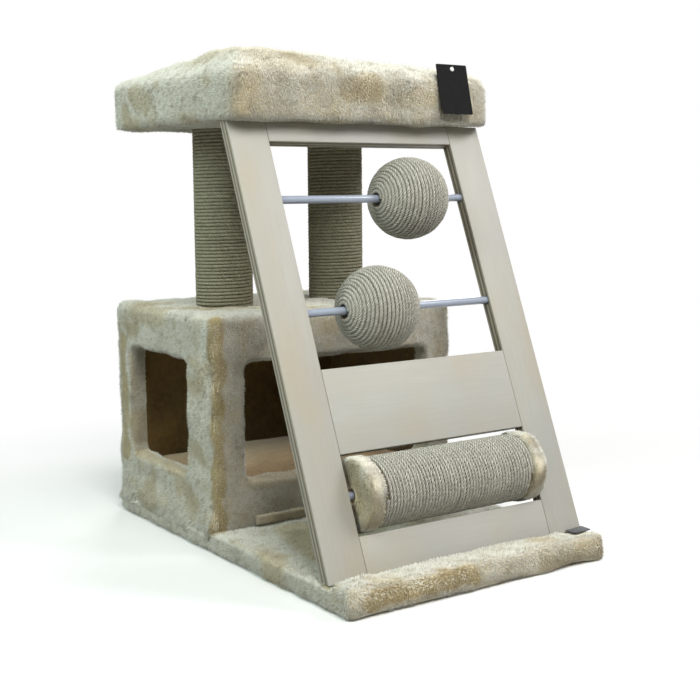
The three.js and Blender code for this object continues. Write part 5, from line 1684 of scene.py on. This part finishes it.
class SCRATCHER_OT_balls(bpy.types.Operator):
    """Rope balls: sleeve, foam core and winding"""

    bl_idname = "scratcher.balls"
    bl_label = "Rope balls"

    STEPS = 260
    POLE_GAP = 0.0007
    END_GAP = 0.0004
    SLEEVE_INSET = 0.006
    CORE_SHARE = 1.15
    SLEEVE_ROUND = 0.0004

    def execute(self, context):
        for number, level in enumerate(("upper", "lower")):
            self.add_ball(level, number)
        return {"FINISHED"}

    def add_ball(self, level, number):
        sizes = measures()
        radius = sizes.ball_pitch * ROPE_SHARE
        centre = middle(f"{level}_ball_sleeve")
        low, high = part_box(f"{level}_ball_sleeve")
        outer = round_of(f"{level}_ball_sleeve")
        inner = round_of(f"{level}_rod") + GAP
        reach = Vector(((high.x - low.x) / 2 - self.SLEEVE_INSET, 0, 0))
        past = Vector((PAST, 0, 0))
        sleeve = bar_piece(f"{level}_ball_sleeve_tube", outer, centre - reach, centre + reach, 48)
        combine(sleeve, [bar_piece("bore", inner, centre - reach - past, centre + reach + past, 48)])
        apply(sleeve, "BEVEL", width=self.SLEEVE_ROUND, segments=2, limit_method="ANGLE")
        smooth_shade(sleeve, TURNED_ANGLE)
        node = f"{level}_ball_sleeve"
        # The sleeve is near black, as painted shade of the hole round the rod
        dress(sleeve, "dark_plastic", body_of(node), [node])

        core_radius = sizes.ball_radius - self.CORE_SHARE * radius
        bpy.ops.object.select_all(action="DESELECT")
        turn = (0, math.pi / 2, 0)
        settings = {"segments": 48, "ring_count": 24, "radius": core_radius}
        bpy.ops.mesh.primitive_uv_sphere_add(location=centre, rotation=turn, **settings)
        core = settle(named(bpy.context.object, f"{level}_ball_core_foam"))
        span = Vector((sizes.ball_radius, 0, 0))
        combine(core, [bar_piece("bore", outer + GAP, centre - span, centre + span, 48)])
        smooth_shade(core, TURNED_ANGLE)
        node = f"{level}_ball_core"
        dress(core, "ball_foam", body_of(node), [node])

        pole = inner + radius + self.POLE_GAP
        middle_radius = sizes.ball_radius - radius * ROPE_FLAT
        wound = ball_winding(centre, middle_radius, pole, sizes.ball_pitch, self.STEPS, 300 + number)
        rope = rope_piece(f"{level}_ball_rope_sisal", *wound, self.STEPS, radius, 310 + number)
        places, _ = vertices_of(rope)
        places[:, 0] = np.clip(places[:, 0], low.x + self.END_GAP, high.x - self.END_GAP)
        place_vertices(rope, places)
        node = f"{level}_ball_rope"
        dress(rope, "sisal_rope", body_of(node), [node])


class SCRATCHER_OT_roller(bpy.types.Operator):
    """Rope roller with plush caps"""

    bl_idname = "scratcher.roller"
    bl_label = "Roller"

    STEPS = 200
    CAP_GRAIN = 0.0032
    CAP_PILE = 0.0034
    CAP_SEAT = 0.0026
    CAP_LIMIT = 0.0425
    CAP_SWELL = 0.0015
    CAP_ROUND = 0.006
    CAP_RUFFLE, CAP_SEED = (0.0007, 0.04), 95
    BARE_HUB, BARE_RIM, INWARD = 0.002, 0.003, -0.5
    TUBE_GAP, CUT_PAST = 0.0005, 0.03
    ROPE_PAST = 0.0005
    BED_SHARE = 1.05
    HOLE = 0.0085

    def execute(self, context):
        sizes = measures()
        radius = sizes.roller_pitch * ROPE_SHARE
        low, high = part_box("roller_rope")
        ends = low.x - self.ROPE_PAST, high.x + self.ROPE_PAST
        start, end = ((x, AXLE.y, AXLE.z) for x in ends)
        middle_radius = sizes.roller_radius - radius * ROPE_FLAT
        wound = tube_winding(start, end, middle_radius, sizes.roller_pitch, self.STEPS, 400)
        rope = rope_piece("roller_rope_sisal", *wound, self.STEPS, radius, 410)
        dress(rope, "sisal_rope", "roller", ["roller_rope"])
        tube_low, tube_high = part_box("roller_tube")
        bore = (tube_high.y - tube_low.y) / 2 + BED_GAP
        rope_bed("roller_rope_shade_bed", sizes.roller_radius - self.BED_SHARE * radius, bore, start, end, "roller")
        for number, side in enumerate(("left", "right")):
            self.add_cap(side, number)
        return {"FINISHED"}

    def add_cap(self, side, number):
        node = f"roller_{side}_cap"
        low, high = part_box(node)
        outward = -1 if side == "left" else 1
        near_x, far_x = (high.x, low.x) if side == "left" else (low.x, high.x)
        inner_end = Vector((near_x, AXLE.y, AXLE.z))
        outer_end = Vector((far_x - outward * self.CAP_SEAT, AXLE.y, AXLE.z))
        radius = round_of(node) - self.CAP_SEAT + self.CAP_SWELL
        cap = bar_piece(f"{node}_plush", radius, inner_end, outer_end, ROUND)
        bevel_edges(cap, self.CAP_ROUND, 4, at_level(X, outer_end.x))
        even_skin(cap, self.CAP_GRAIN, 3)
        ruffle(cap, *self.CAP_RUFFLE, self.CAP_SEED + number)

        def grows(places, ups):
            hub = np.hypot(places[:, 1] - AXLE.y, places[:, 2] - AXLE.z)
            shown = (ups[:, 0] * outward > self.INWARD) | (hub > radius - self.BARE_RIM)
            return shown & (hub > self.HOLE + self.BARE_HUB)

        roots, ups = sow(cap, grows, self.CAP_GRAIN / 2, 5 + number)
        tube_low, tube_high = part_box("roller_tube")
        tube_radius = (tube_high.y - tube_low.y) / 2 + self.TUBE_GAP
        tube_end = Vector(((tube_high.x + GAP) * outward, AXLE.y, AXLE.z))
        past = Vector((outward * self.CUT_PAST, 0, 0))
        cuts = [
            bar_piece("tube_room", tube_radius, inner_end - past, tube_end, ROUND),
            bar_piece("axle_hole", self.HOLE, inner_end - past, outer_end + past, 32),
        ]
        combine(cap, cuts)
        smooth_shade(cap, CLOTH_ANGLE)
        dress(cap, "plush_backing", "roller", [node])
        pile = pile_piece(f"{node}_pile", "roller", roots, ups, self.CAP_PILE, 70 + number)
        places, _ = vertices_of(pile)
        arms = places[:, 1:] - np.array(AXLE.yz)
        reach = np.linalg.norm(arms, axis=1)[:, None]
        places[:, 1:] = np.array(AXLE.yz) + arms * np.minimum(1, self.CAP_LIMIT / reach)
        place_vertices(pile, places)


class SCRATCHER_OT_tags(bpy.types.Operator):
    """Blank hang tag with its pin, and the blank woven tab"""

    bl_idname = "scratcher.tags"
    bl_label = "Tags"

    WIDTH, HEIGHT, CARD = 0.048, 0.063, 0.0008
    CORNER, EYE_DROP, EYE = 0.0015, 0.006, 0.0019
    CURL = 0.0016
    SHANK, HEAD = 0.0011, 0.0028
    SHANK_START, SHANK_SHORT = 0.0004, 0.005
    HEAD_START, HEAD_END, HEAD_ROUND = 0.0015, 0.0003, 0.0005
    TAB_CORNER, TAB_ROUND = 0.001, 0.0003
    TAB_WAVES, TAB_WAVE = (0.03, 19), 0.0004

    def execute(self, context):
        self.add_tag()
        self.add_pin()
        self.add_tab()
        return {"FINISHED"}

    def hang(self, piece):
        """Moves a piece made round the tag's eye onto the platform's front."""
        joint = JOINTS["tag_swing"]
        axis = Vector(joint["axis"])
        piece.rotation_euler = (math.atan2(axis.z, axis.y), 0, 0)
        piece.location = joint["pos_m"]
        return settle(piece)

    def add_tag(self):
        top, bottom = self.EYE_DROP, self.EYE_DROP - self.HEIGHT
        half = self.WIDTH / 2
        tag = box_piece("hang_tag_card", (-half, -self.CARD, bottom), (half, 0, top))
        bevel_edges(tag, self.CORNER, 4, along(Y))
        with editing(tag, "FACE"):
            for step in range(1, 12):
                bpy.ops.mesh.select_all(action="SELECT")
                height = bottom + self.HEIGHT * step / 12
                bpy.ops.mesh.bisect(plane_co=(0, 0, height), plane_no=(0, 0, 1))
        eye = bar_piece("eye", self.EYE, (0, -PAST, 0), (0, PAST, 0), 32)
        combine(tag, [eye])
        places, _ = vertices_of(tag)
        drop = np.clip((top - places[:, 2]) / self.HEIGHT, 0, 1)
        places[:, 1] -= self.CURL * drop**2
        place_vertices(tag, places)
        self.hang(tag)
        smooth_shade(tag, BOARD_ANGLE)
        dress(tag, "blank_card", "tag", ["hang_tag"])

    def add_pin(self):
        """A moulded pin: a thin shank and a flat round head."""
        low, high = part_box("tag_pin")
        reach = (high.y - low.y) / math.cos(math.atan2(-JOINTS["tag_swing"]["axis"][2], 1.0))
        shank = -self.CARD - self.SHANK_START, reach - self.SHANK_SHORT
        pin = bar_piece("tag_pin_plastic", self.SHANK, *[(0, y, 0) for y in shank], 24)
        disc = -self.CARD - self.HEAD_START, -self.CARD - self.HEAD_END
        head = bar_piece("head", self.HEAD, *[(0, y, 0) for y in disc], 32)
        bevel_edges(head, self.HEAD_ROUND, 3, at_level(Y, disc[0]))
        combine(pin, [head], "UNION")
        self.hang(pin)
        smooth_shade(pin, TURNED_ANGLE)
        dress(pin, "white_plastic", body_of("tag_pin"), ["tag_pin"])

    def add_tab(self):
        low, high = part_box("woven_tab")
        tab = box_piece("woven_tab_ribbon", low, high)
        bevel_edges(tab, self.TAB_CORNER, 2, along(Z))
        with editing(tab, "FACE"):
            bpy.ops.mesh.select_all(action="SELECT")
            bpy.ops.mesh.subdivide(number_cuts=3)
        apply(tab, "BEVEL", width=self.TAB_ROUND, segments=2, limit_method="ANGLE")
        places, _ = vertices_of(tab)
        lifted = measures().lip_rise * SCRATCHER_OT_base.TAB_SHARE
        places[:, 2] += self.TAB_WAVE * drift(places, *self.TAB_WAVES) + lifted
        place_vertices(tab, places)
        smooth_shade(tab, TURNED_ANGLE)
        dress(tab, "woven_ribbon", "stand", ["woven_tab"])


class SCRATCHER_PT_panel(bpy.types.Panel):
    """Lists the scratcher's operators, sizes and colours"""

    bl_idname = "SCRATCHER_PT_panel"
    bl_label = "Ball track scratcher"
    bl_space_type = "VIEW_3D"
    bl_region_type = "UI"
    bl_category = "Scratcher"

    def draw(self, context):
        for step in STEPS:
            self.layout.operator(step.bl_idname)
        for group in (context.scene.scratcher_sizes, context.scene.scratcher_colours):
            for name in group.__annotations__:
                self.layout.prop(group, name)


STEPS = [
    SCRATCHER_OT_stage,
    SCRATCHER_OT_carcass,
    SCRATCHER_OT_base,
    SCRATCHER_OT_cabin,
    SCRATCHER_OT_inside,
    SCRATCHER_OT_platform,
    SCRATCHER_OT_posts,
    SCRATCHER_OT_plywood,
    SCRATCHER_OT_rods,
    SCRATCHER_OT_balls,
    SCRATCHER_OT_roller,
    SCRATCHER_OT_tags,
]
CLASSES = [ScratcherSizes, ScratcherColours, *STEPS, SCRATCHER_PT_panel]


def register():
    for entry in CLASSES:
        bpy.utils.register_class(entry)
    bpy.types.Scene.scratcher_sizes = PointerProperty(type=ScratcherSizes)
    bpy.types.Scene.scratcher_colours = PointerProperty(type=ScratcherColours)


def unregister():
    del bpy.types.Scene.scratcher_colours
    del bpy.types.Scene.scratcher_sizes
    for entry in reversed(CLASSES):
        bpy.utils.unregister_class(entry)


def main():
    register()
    for step in STEPS:
        group, name = step.bl_idname.split(".")
        getattr(getattr(bpy.ops, group), name)()


if __name__ == "__main__":
    main()
